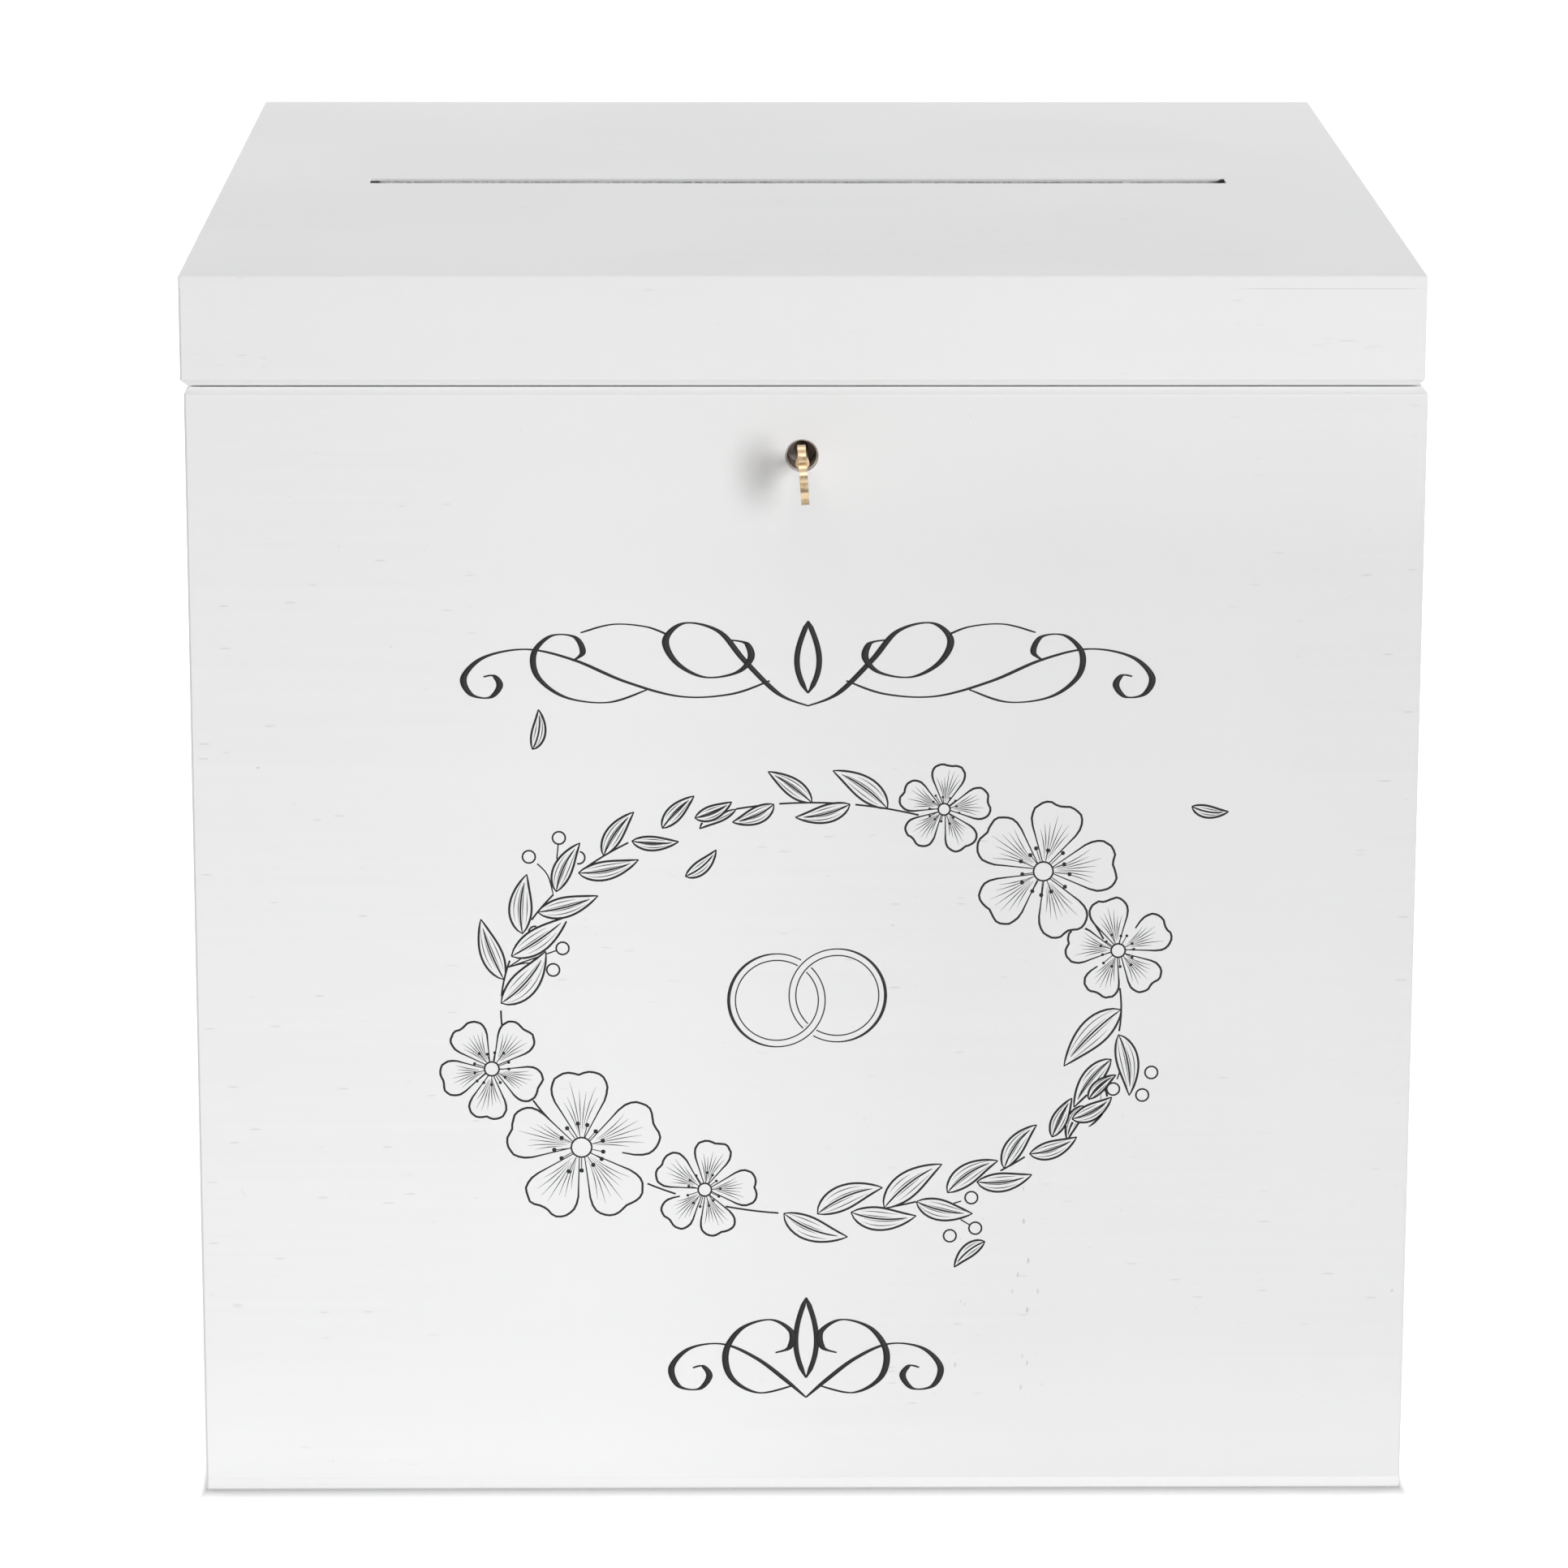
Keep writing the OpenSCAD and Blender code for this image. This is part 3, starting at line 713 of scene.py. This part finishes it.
fittings = [
    (["left_hinge_box_leaf", "right_hinge_box_leaf"], "box", hingeBrass, "hinge_brass", 0.12),
    (["left_hinge_lid_leaf", "right_hinge_lid_leaf"], "lid", hingeBrass, "hinge_brass", 0.12),
    (["left_hinge_pin", "right_hinge_pin"], "box", screwBrass, "hinge_brass", 0),
    (["hinge_box_screws"], "box", screwBrass, "hinge_brass", 0.05),
    (["hinge_lid_screws"], "lid", screwBrass, "hinge_brass", 0.05),
    (["lock_housing"], "box", lockCasting, "lock_steel", 0.15),
    (["lock_rotor"], "lock_barrel", lockCasting, "lock_steel", 0.1),
    (["lock_cam"], "lock_barrel", lockSteel, "lock_steel", 0.12),
    (["cam_screw"], "lock_barrel", lockSteel, "lock_steel", 0.1),
    (["lock_screws"], "box", lockSteel, "lock_steel", 0.05),
    (["keeper_plate"], "lid", lockSteel, "lock_steel", 0.12),
    (["keeper_screws"], "lid", lockSteel, "lock_steel", 0.05),
    (["key"], "key", keyBrass, "key_brass", 0.28),
]
for names, body, material, slotName, softEdge in fittings:
    for nodeName in names:
        finishedCopy(nodeName, body, material, softEdge * mm)
print("fittings finished")


# line drawing on the front, drawn in millimetres about each ornament's centre

def bezierPath(p0, p1, p2, p3, count):
    points = []
    for i in range(count + 1):
        t = i / count
        weights = ((1 - t) ** 3, 3 * t * (1 - t) ** 2, 3 * t * t * (1 - t), t ** 3)
        points.append(tuple(sum(weight * point[n] for weight, point in zip(weights, (p0, p1, p2, p3)))
                            for n in (0, 1)))
    return points


def smoothPath(knots, count=10):
    # a Catmull-Rom curve through the knots
    ends = [knots[0]] + list(knots) + [knots[-1]]
    points = []
    for k in range(len(knots) - 1):
        for i in range(count):
            t = i / count
            weights = (-t + 2 * t * t - t ** 3, 2 - 5 * t * t + 3 * t ** 3,
                       t + 4 * t * t - 3 * t ** 3, t ** 3 - t * t)
            points.append(tuple(0.5 * sum(weight * knot[n] for weight, knot in zip(weights, ends[k:k + 4]))
                                for n in (0, 1)))
    return points + [knots[-1]]


def evenWidth(points, width, tip=0.25, taper=0.12):
    last = len(points) - 1
    stroke = []
    for i, (x, y) in enumerate(points):
        edge = min(i, last - i) / max(1, last * taper)
        stroke.append((x, y, width * (tip + (1 - tip) * min(1, edge))))
    return stroke


def penWidth(points, size, hairShare, fullShare):
    # thick where the pen moves upright, thin where it moves sideways
    hair = size["hair"] * hairShare
    full = size["full"] * fullShare
    last = len(points) - 1
    stroke = []
    for i, (x, y) in enumerate(points):
        a = points[max(0, i - 1)]
        b = points[min(last, i + 1)]
        run = math.hypot(b[0] - a[0], b[1] - a[1])
        upright = abs(b[1] - a[1]) / max(1e-9, run)
        fade = min(1, min(i, last - i) / max(1, 0.1 * last))
        stroke.append((x, y, hair + (full - hair) * upright ** 1.5 * fade))
    return stroke


def isInside(point, outline):
    x, y = point[0], point[1]
    hit = False
    for i in range(len(outline)):
        x0, y0 = outline[i - 1][:2]
        x1, y1 = outline[i][:2]
        if (y0 > y) != (y1 > y) and x < (x1 - x0) * (y - y0) / (y1 - y0) + x0:
            hit = not hit
    return hit


def shownRuns(stroke, isHidden):
    runs = [[]]
    for point in stroke:
        if isHidden(point):
            runs.append([])
        else:
            runs[-1].append(point)
    return [run for run in runs if len(run) > 2]


def addStroke(art, stroke):
    # keeps the stretches that nothing drawn before lies over
    def isCovered(point):
        return any(isInside(point, cover) for cover in art["covers"])
    art["strokes"] += shownRuns(stroke, isCovered)


def drawLeaf(art, base, angle, length, width, bend, pen, veins=5):
    # outline, midrib and veins of a leaf that grows from its base towards an angle
    steps = 14
    spine = []
    heading = angle
    x, y = base
    for i in range(steps + 1):
        spine.append((x, y, heading))
        heading += bend / steps
        x += math.cos(heading) * length / steps
        y += math.sin(heading) * length / steps

    def offset(share, low=0.0, high=1.0):
        side = []
        for i, (px, py, turn) in enumerate(spine):
            t = i / steps
            if low <= t <= high:
                reach = share * width * math.sin(math.pi * t ** 0.85) ** 0.9 * (1 - 0.25 * t)
                side.append((px - math.sin(turn) * reach, py + math.cos(turn) * reach))
        return side
    left = offset(0.5)
    right = offset(-0.5)
    addStroke(art, evenWidth(left, pen["outline"], 0.5))
    addStroke(art, evenWidth(right, pen["outline"], 0.5))
    addStroke(art, evenWidth(offset(0, 0, 0.9), pen["rib"], 0.3))
    for k in range(veins - 1):
        share = (k + 1) / veins - 0.5
        if abs(share) > 0.06:
            start = pen["vary"](0.04, 0.22)
            end = pen["vary"](0.6, 0.93)
            addStroke(art, evenWidth(offset(share, start, end), pen["vein"], 0.2, 0.4))
    art["covers"].append(left + right[::-1])


def drawPetal(art, centre, angle, inner, outer, spread, pen, veins=7):
    steps = 22
    rim = []
    for i in range(steps + 1):
        t = i / steps * 2 - 1
        r = inner + (outer - inner) * (1 - abs(t) ** 2.6) ** 0.55
        r *= 1 - 0.06 * math.exp(-(t / 0.16) ** 2) + pen["vary"](-0.008, 0.008)
        rim.append(polar(centre, angle + t * spread * (0.45 + 0.55 * (r - inner) / (outer - inner)), r))
    addStroke(art, evenWidth(rim, pen["outline"], 0.45))
    for k in range(veins):
        share = ((k + 1) / (veins + 1) * 2 - 1) * 0.82
        reach = inner + (outer - inner) * (1 - abs(share) ** 2.4) ** 0.5 * pen["vary"](0.62, 0.86)
        start = inner + (outer - inner) * pen["vary"](0.03, 0.14)
        line = []
        for i in range(9):
            r = start + (reach - start) * i / 8
            out = (r - inner) / (outer - inner)
            line.append(polar(centre, angle + share * spread * (0.35 + 0.65 * out), r))
        addStroke(art, evenWidth(line, pen["vein"], 0.2, 0.45))
    art["covers"].append(rim)


def polar(centre, angle, reach):
    return (centre[0] + math.cos(angle) * reach, centre[1] + math.sin(angle) * reach)


def ringAt(centre, radius, count):
    return [polar(centre, i / count * math.tau, radius) for i in range(count + 1)]


def addRing(art, centre, radius, count, pen):
    ring = ringAt(centre, radius, count)
    addStroke(art, [(x, y, pen["rib"]) for x, y in ring])
    art["covers"].append(ring)


def drawBlossom(art, centre, size, turn, pen):
    # an open five-petalled blossom: heart and stamens first, the petals behind them
    heart = size * 0.13
    dot = size * 0.026
    dotShape = ((-1, 1), (-0.5, 2), (0.5, 2), (1, 1))
    stamens = 13
    petals = 5
    spread = math.pi / petals * 1.18
    addRing(art, centre, heart, 16, pen)
    for i in range(stamens):
        a = turn + i / stamens * math.tau + pen["vary"](-0.1, 0.1)
        r = size * pen["vary"](0.27, 0.36)
        line = [polar(centre, a, heart + (r - heart) * t / 5) for t in range(6)]
        addStroke(art, evenWidth(line, pen["vein"], 0.6))
        x, y = line[-1]
        addStroke(art, [(x + step * dot, y, dot * width) for step, width in dotShape])
    for i in range(petals):
        a = turn + i * math.tau / petals + pen["vary"](-0.05, 0.05)
        drawPetal(art, centre, a, heart, size * pen["vary"](0.93, 1.04), spread, pen)


def drawBerries(art, base, angle, length, pen):
    for side in (-1, 0, 1):
        a = angle + side * 0.5 + pen["vary"](-0.08, 0.08)
        reach = length * (1.0 if side == 0 else 0.78)
        tip = polar(base, a, reach)
        addRing(art, tip, length * 0.11, 14, pen)
        middle = polar(base, a - side * 0.35, reach * 0.5)
        addStroke(art, evenWidth(bezierPath(base, middle, middle, tip, 12), pen["vein"] * 1.6, 0.7))


wreath = dict(
    seed=7, halfWidth=74, halfHeight=51, centre=(1.5, 121),
    outline=0.52, rib=0.42, vein=0.21, oval=0.44,
    leafStep=6.5,           # degrees between two leaves
    # around the oval in degrees: angle, shift outwards, reach, turn
    blossoms=[(222, 0, 19, 20), (195, 5, 13.5, 50), (249, -3, 12.5, 5),
              (42, 0, 18, 75), (16, 2, 13, 30), (66, 3, 11, 10)],
    # angle at the root, angle at the tip, first and last leaf length
    sprays=[(178, 112, 19, 10), (265, 334, 19, 10), (0, -28, 18, 11), (76, 104, 15, 10)],
    # angle, way, reach
    twigs=[(146, -6, 14), (292, 6, -14), (168, -6, -14), (-10, -6, 14)],
    # across, up, turn, length
    loose=[(-66, 64, 60, 10), (-30, 33, 20, 10), (90, 50, -30, 9), (42, -58, 200, 10)],
)


def drawWreath(size):
    pen = {name: size[name] for name in ("outline", "rib", "vein")}
    pen["vary"] = random.Random(size["seed"]).uniform
    art = {"strokes": [], "covers": []}

    def oval(angle, out=0.0):
        r = math.radians(angle)
        return ((size["halfWidth"] + out) * math.cos(r), (size["halfHeight"] + out) * math.sin(r))

    def heading(angle, step):
        p = oval(angle)
        q = oval(angle + step)
        return math.atan2(q[1] - p[1], q[0] - p[0])
    for angle, out, reach, turn in size["blossoms"]:
        drawBlossom(art, oval(angle, out), reach, math.radians(turn), pen)
    for start, end, big, small in size["sprays"]:
        count = round(abs(end - start) / size["leafStep"])
        step = (end - start) / count
        for i in range(count, -1, -1):
            angle = start + i * step
            share = i / count
            length = (big + (small - big) * share) * pen["vary"](0.88, 1.1)
            side = 1 if i % 2 else -1
            lean = pen["vary"](0.55, 0.95) * (1 - 0.25 * share)
            if i == count:
                lean = 0.05
            drawLeaf(art, oval(angle), heading(angle, step) + side * lean, length,
                     length * pen["vary"](0.33, 0.42),
                     -side * pen["vary"](0.2, 0.7), pen)
    for angle, step, reach in size["twigs"]:
        drawBerries(art, oval(angle), heading(angle, step) + (0.8 if reach > 0 else -0.8), abs(reach), pen)
    for x, y, turn, reach in size["loose"]:
        drawLeaf(art, (x, y), math.radians(turn), reach, reach * 0.36, 0.7, pen, 4)
    addStroke(art, [oval(i * 2) + (size["oval"],) for i in range(181)])
    return art["strokes"]


def drawFlourish(size):
    # every curl is drawn on the right and mirrored to the left
    curls = [(smoothPath(knots), *shares) for knots, *shares in size["curls"]]
    curls.append((bezierPath(*size["bud"], 20), 1, 0.8))
    strokes = []
    for points, hairShare, fullShare in curls:
        stroke = penWidth(points, size, hairShare, fullShare)
        strokes += [stroke, [(-x, y, width) for x, y, width in stroke]]
    return strokes


def drawRings(size):
    # two linked rings, each passing once over and once under the other
    strokes = []
    outer = size["radius"]
    inner = outer * size["inner"]
    for sign in (-1, 1):
        centre = (sign * size["shift"], sign * size["rise"])

        def isUnder(point):
            away = math.hypot(point[0] + centre[0], point[1] + centre[1])
            return inner - size["gap"] < away < outer + size["gap"] and point[1] * sign < 0
        for radius, heavy in ((outer, size["heavy"]), (inner, 0)):
            ring = ringAt(centre, radius, 120)
            shares = [max(0, (x - centre[0]) / radius * sign) for x, y in ring]
            stroke = [(x, y, size["hair"] + heavy * share) for (x, y), share in zip(ring, shares)]
            strokes += shownRuns(stroke, isUnder)
    return strokes


ink = dict(
    full=(0.008, 0),        # albedo and warmth of a full line
    thin=(0.022, 0.03),     # the same where the ink is thin
    grain=2200, grainShare=0.35,
    clouds=60, cloudShare=0.4,
    roughness=(0.48, 0.62),
    specular=0.3,
    bump=0.25, bumpReach=0.03,
    # how far a line lies in the paint and stands above it, in shares of its width
    sunk=0.02, proud=0.05,
)


def makeInkMaterial():
    material, tree, surface, place = newMaterial("printInk")
    grain = noiseAt(tree, place, ink["grain"], 3)
    clouds = noiseAt(tree, place, ink["clouds"], 2)
    thin = product(tree, ramp(tree, grain, 0, 1, 0.4, 0.7), ink["grainShare"])
    thin = multiplyAdd(tree, clouds, ink["cloudShare"], thin)
    tree.links.new(blendColours(tree, thin, grey(*ink["full"]), grey(*ink["thin"])), surface["Base Color"])
    tree.links.new(ramp(tree, grain, *ink["roughness"]), surface["Roughness"])
    surface["Specular IOR Level"].default_value = ink["specular"]
    addBump(tree, surface, grain, ink["bump"], ink["bumpReach"])
    return material


def makePrint(name, strokes, centre, material):
    # every stroke sweeps a thin flat nib that lies on the face of the box
    nib = bpy.data.curves.new("nib", "CURVE")
    outline = nib.splines.new("POLY")
    outline.points.add(3)
    outline.use_cyclic_u = True
    sunk, proud = -ink["sunk"], ink["proud"]
    corners = ((-0.5, sunk), (0.5, sunk), (0.5, proud), (-0.5, proud))
    for point, (x, y) in zip(outline.points, corners):
        point.co = (x, y, 0, 1)
    nibPiece = linkObject("nib", nib)
    curve = bpy.data.curves.new(name, "CURVE")
    curve.dimensions = "3D"
    curve.twist_mode = "Z_UP"
    curve.bevel_mode = "OBJECT"
    curve.bevel_object = nibPiece
    curve.use_fill_caps = True
    for stroke in strokes:
        spline = curve.splines.new("POLY")
        spline.points.add(len(stroke) - 1)
        for point, (x, y, width) in zip(spline.points, stroke):
            point.co = (x * mm, y * mm, 0, 1)
            point.radius = width * mm
    drawn = linkObject(name + "Curve", curve)
    shape = meshOf(drawn)
    bpy.data.objects.remove(drawn)
    bpy.data.objects.remove(nibPiece)
    bm = bmesh.new()
    bm.from_mesh(shape)
    bmesh.ops.remove_doubles(bm, verts=bm.verts, dist=1e-7)
    bmesh.ops.recalc_face_normals(bm, faces=bm.faces)
    bmesh.ops.rotate(bm, cent=(0, 0, 0), matrix=Matrix.Rotation(math.radians(90), 3, "X"), verts=bm.verts)
    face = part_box("front_wall")[0][1]
    bmesh.ops.translate(bm, vec=(centre[0] * mm, face, centre[1] * mm), verts=bm.verts)
    dressPiece(pieceFrom(bm, name), "box", material)


# each curl: its knots on the right half, then its shares of the hair line and of the full width
flourishes = dict(
    top=dict(
        hair=0.38, full=1.7, centre=(0.5, 205),
        curls=[
            ([(0, -9.5), (7, -6.5), (15, 1.5), (21, 8.5), (29, 10.5), (33.5, 6.5), (31, 1), (24.5, -2.5),
              (17, -1.5), (13.5, 2), (14.5, 5.5), (18, 6.4)], 1, 1),
            ([(9, -3.4), (18, -6.6), (30, -7.2), (43, -3.6), (55, 1.6), (66, 4.2), (76, 2.4), (81, -2.4),
              (79.4, -6.6), (75, -7.4), (72.6, -4.6), (74, -2.2), (76.4, -2.4)], 1, 0.95),
            ([(38, -5.6), (47, -8.6), (57, -7.4), (63.5, -2.6), (64.5, 3.2), (60.5, 7.4), (55, 7.2),
              (53, 3.6), (55.4, 1.4)], 0.9, 0.87),
            ([(32.4, 7.4), (38, 9.6), (46, 10.2), (53.5, 8.2)], 0.85, 0.6),
        ],
        bud=[(0, -6.4), (4.6, 0.5), (2.2, 5.4), (0, 11)],
    ),
    rings=dict(
        radius=11.5, inner=0.86, shift=7.2, rise=0.6, gap=0.25,
        hair=0.3, heavy=0.45, centre=(0.5, 124),
    ),
    low=dict(
        hair=0.38, full=1.6, centre=(0.5, 35.5),
        curls=[
            ([(0, -12), (5, -7.5), (12, -2), (20, 1.6), (28, 0.6), (32.5, -4.2), (30.8, -9), (26, -9.8),
              (23.4, -6.6), (25, -4), (27.4, -4.4)], 1, 1),
            ([(3.2, -9), (11.5, -10.8), (18, -7), (19.4, -0.4), (15.6, 5.6), (8.6, 7.8), (3.6, 4.8),
              (4.0, 0.8), (7.4, -0.6)], 1, 1),
        ],
        bud=[(0, -7), (4.2, 1), (2.4, 7), (0, 13.4)],
    ),
)
printInk = makeInkMaterial()
ornaments = [
    ("print_wreath", drawWreath, wreath),
    ("print_top_flourish", drawFlourish, flourishes["top"]),
    ("print_rings", drawRings, flourishes["rings"]),
    ("print_low_flourish", drawFlourish, flourishes["low"]),
]
for name, draw, size in ornaments:
    makePrint(name, draw(size), size["centre"], printInk)
print("ornaments drawn")


# camera, floor and light

# lens and sensor in millimetres, angles in degrees
view = dict(
    lens=144.53, sensor=36,
    pitch=13.856, yaw=0.723, roll=0.116,
    place=(-0.02335, -1.5950, 0.5330),
    clip=(0.05, 20),
)


def makeCamera():
    pitch, yaw, roll = (math.radians(view[name]) for name in ("pitch", "yaw", "roll"))
    ahead = Vector((math.sin(yaw) * math.cos(pitch), math.cos(yaw) * math.cos(pitch), -math.sin(pitch)))
    right = Vector((math.cos(yaw), -math.sin(yaw), 0))
    up = right.cross(ahead)
    across = right * math.cos(roll) + up * math.sin(roll)
    upward = up * math.cos(roll) - right * math.sin(roll)
    data = bpy.data.cameras.new("camera")
    data.lens = view["lens"]
    data.sensor_width = view["sensor"]
    data.clip_start, data.clip_end = view["clip"]
    camera = linkObject("camera", data)
    turned = Matrix((across, upward, -ahead)).transposed().to_4x4()
    camera.matrix_world = Matrix.Translation(view["place"]) @ turned
    scene.camera = camera


lighting = dict(
    worldLight=0.18,
    floorAlbedo=0.80,
    floorSize=6,            # half of its side
    # the floor's own light near the box, and how far out it rises to full white
    floorGlow=0.55,
    glowRise=(0.3, 0.9),
    # painted contact shadow round the foot: its width before and behind the box, and beside it, and the
    # tone it leaves
    paintedContactShadow=dict(before=7 * mm, beside=1.6 * mm, tone=0.92),
    # painted reflection: a faintly glowing dark sheet behind the camera, seen only in reflections
    darkReflectionSheet=dict(place=(-0.65, -3.3, 0.9), halfSize=1.5, tone=0.06),
    # name, place, what it faces, width, height, power
    lamps=[
        ("softKey", (1.90, -4.75, 1.05), (0, -0.15, 0.22), 1.4, 1.7, 124),
        ("frontHigh", (-0.3, -2.6, 2.6), (0, -0.1, 0.25), 1.6, 1.2, 18),
        ("lowFill", (-0.02, -0.33, 0.04), (-0.02, -0.15, 0.03), 0.50, 0.06, 0.065),
        ("toeFill", (-0.01, -0.175, 0.006), (-0.01, -0.15, 0.006), 0.34, 0.01, 0.0038),
        ("overhead", (0.0, 0.55, 1.75), (0, 0.1, 0.298), 1.6, 1.2, 9.0),
        ("backLeft", (-1.7, 1.1, 0.7), (0, 0, 0.15), 1.2, 1.2, 17),
        ("backRight", (1.7, 1.1, 0.7), (0, 0, 0.15), 1.2, 1.2, 17),
    ],
)


def seenDirectly(tree):
    # 1 for camera, glossy and transmission rays
    path = addNode(tree, "ShaderNodeLightPath").outputs
    seen = calc(tree, "MAXIMUM", path["Is Camera Ray"], path["Is Glossy Ray"])
    return calc(tree, "MAXIMUM", seen, path["Is Transmission Ray"])


def makeWorld():
    world = bpy.data.worlds.new("studio")
    world.use_nodes = True
    tree = world.node_tree
    tree.nodes.clear()
    strength = ramp(tree, seenDirectly(tree), lighting["worldLight"], 1.0, smooth=False)
    background = addNode(tree, "ShaderNodeBackground", {"Color": (1, 1, 1, 1), "Strength": strength})
    output = addNode(tree, "ShaderNodeOutputWorld")
    tree.links.new(background.outputs[0], output.inputs["Surface"])
    scene.world = world


def paintedFootShadow(tree, place):
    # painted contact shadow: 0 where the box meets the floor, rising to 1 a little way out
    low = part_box("front_wall")[0]
    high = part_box("back_wall")[1]
    middle = ((low[0] + high[0]) / 2, (low[1] + high[1]) / 2, 0)
    at = splitVector(tree, vectorCalc(tree, "SUBTRACT", place, middle))
    shares = []
    for axis, width in ((0, "beside"), (1, "before")):
        outside = calc(tree, "SUBTRACT", calc(tree, "ABSOLUTE", at[axis]), (high[axis] - low[axis]) / 2)
        shares.append(calc(tree, "DIVIDE", outside, lighting["paintedContactShadow"][width]))
    return ramp(tree, calc(tree, "MAXIMUM", *shares), 0, 1, smooth=False)


def flatSheet(name, halfSize, place=Matrix()):
    bm = bmesh.new()
    bmesh.ops.create_grid(bm, x_segments=1, y_segments=1, size=halfSize, matrix=place)
    return pieceFrom(bm, name)


def makeFloor():
    floor = flatSheet("floor", lighting["floorSize"])
    material, tree, output, place = emptyMaterial("paleFloor")
    # painted contact shadow: near the box the floor's colour and its glow are lowered
    near = paintedFootShadow(tree, place)
    tone = ramp(tree, near, lighting["paintedContactShadow"]["tone"], 1.0, smooth=False)
    shaded = blendColours(tree, 1.0, grey(lighting["floorAlbedo"]), tone, "MULTIPLY")
    pale = addNode(tree, "ShaderNodeBsdfDiffuse", {"Color": shaded})
    away = vectorCalc(tree, "LENGTH", place, output="Value")
    glowing = ramp(tree, away, lighting["floorGlow"], 1.0, *lighting["glowRise"])
    strength = product(tree, glowing, near, seenDirectly(tree))
    glow = addNode(tree, "ShaderNodeEmission", {"Color": (1, 1, 1, 1), "Strength": strength})
    both = addNode(tree, "ShaderNodeAddShader", {0: pale.outputs[0], 1: glow.outputs[0]})
    tree.links.new(both.outputs[0], output.inputs["Surface"])
    floor.data.materials.append(material)


def makeDarkReflectionSheet():
    # painted reflection: a faintly glowing dark sheet behind the camera, standing for the unlit end of the
    # studio, seen only in reflections
    side = lighting["darkReflectionSheet"]
    upright = Matrix.Translation(side["place"]) @ Matrix.Rotation(math.radians(90), 4, "X")
    wall = flatSheet("darkReflectionSheet", side["halfSize"], upright)
    material, tree, output = emptyMaterial("darkReflectionSheet")[:3]
    shade = addNode(tree, "ShaderNodeEmission", {"Color": grey(side["tone"]), "Strength": 1})
    tree.links.new(shade.outputs[0], output.inputs["Surface"])
    wall.data.materials.append(material)
    for ray in ("camera", "diffuse", "shadow", "transmission"):
        setattr(wall, "visible_" + ray, False)


def makeLamps():
    for name, place, target, width, height, power in lighting["lamps"]:
        data = bpy.data.lights.new(name, "AREA")
        data.shape = "RECTANGLE"
        data.size = width
        data.size_y = height
        data.energy = power
        lamp = linkObject(name, data)
        lamp.location = place
        lamp.rotation_mode = "QUATERNION"
        lamp.rotation_quaternion = (Vector(target) - Vector(place)).to_track_quat("-Z", "Y")
        lamp.visible_camera = False


makeCamera()
makeWorld()
makeFloor()
makeDarkReflectionSheet()
makeLamps()
scene.view_settings.view_transform = "Standard"
print("camera, floor and light set")
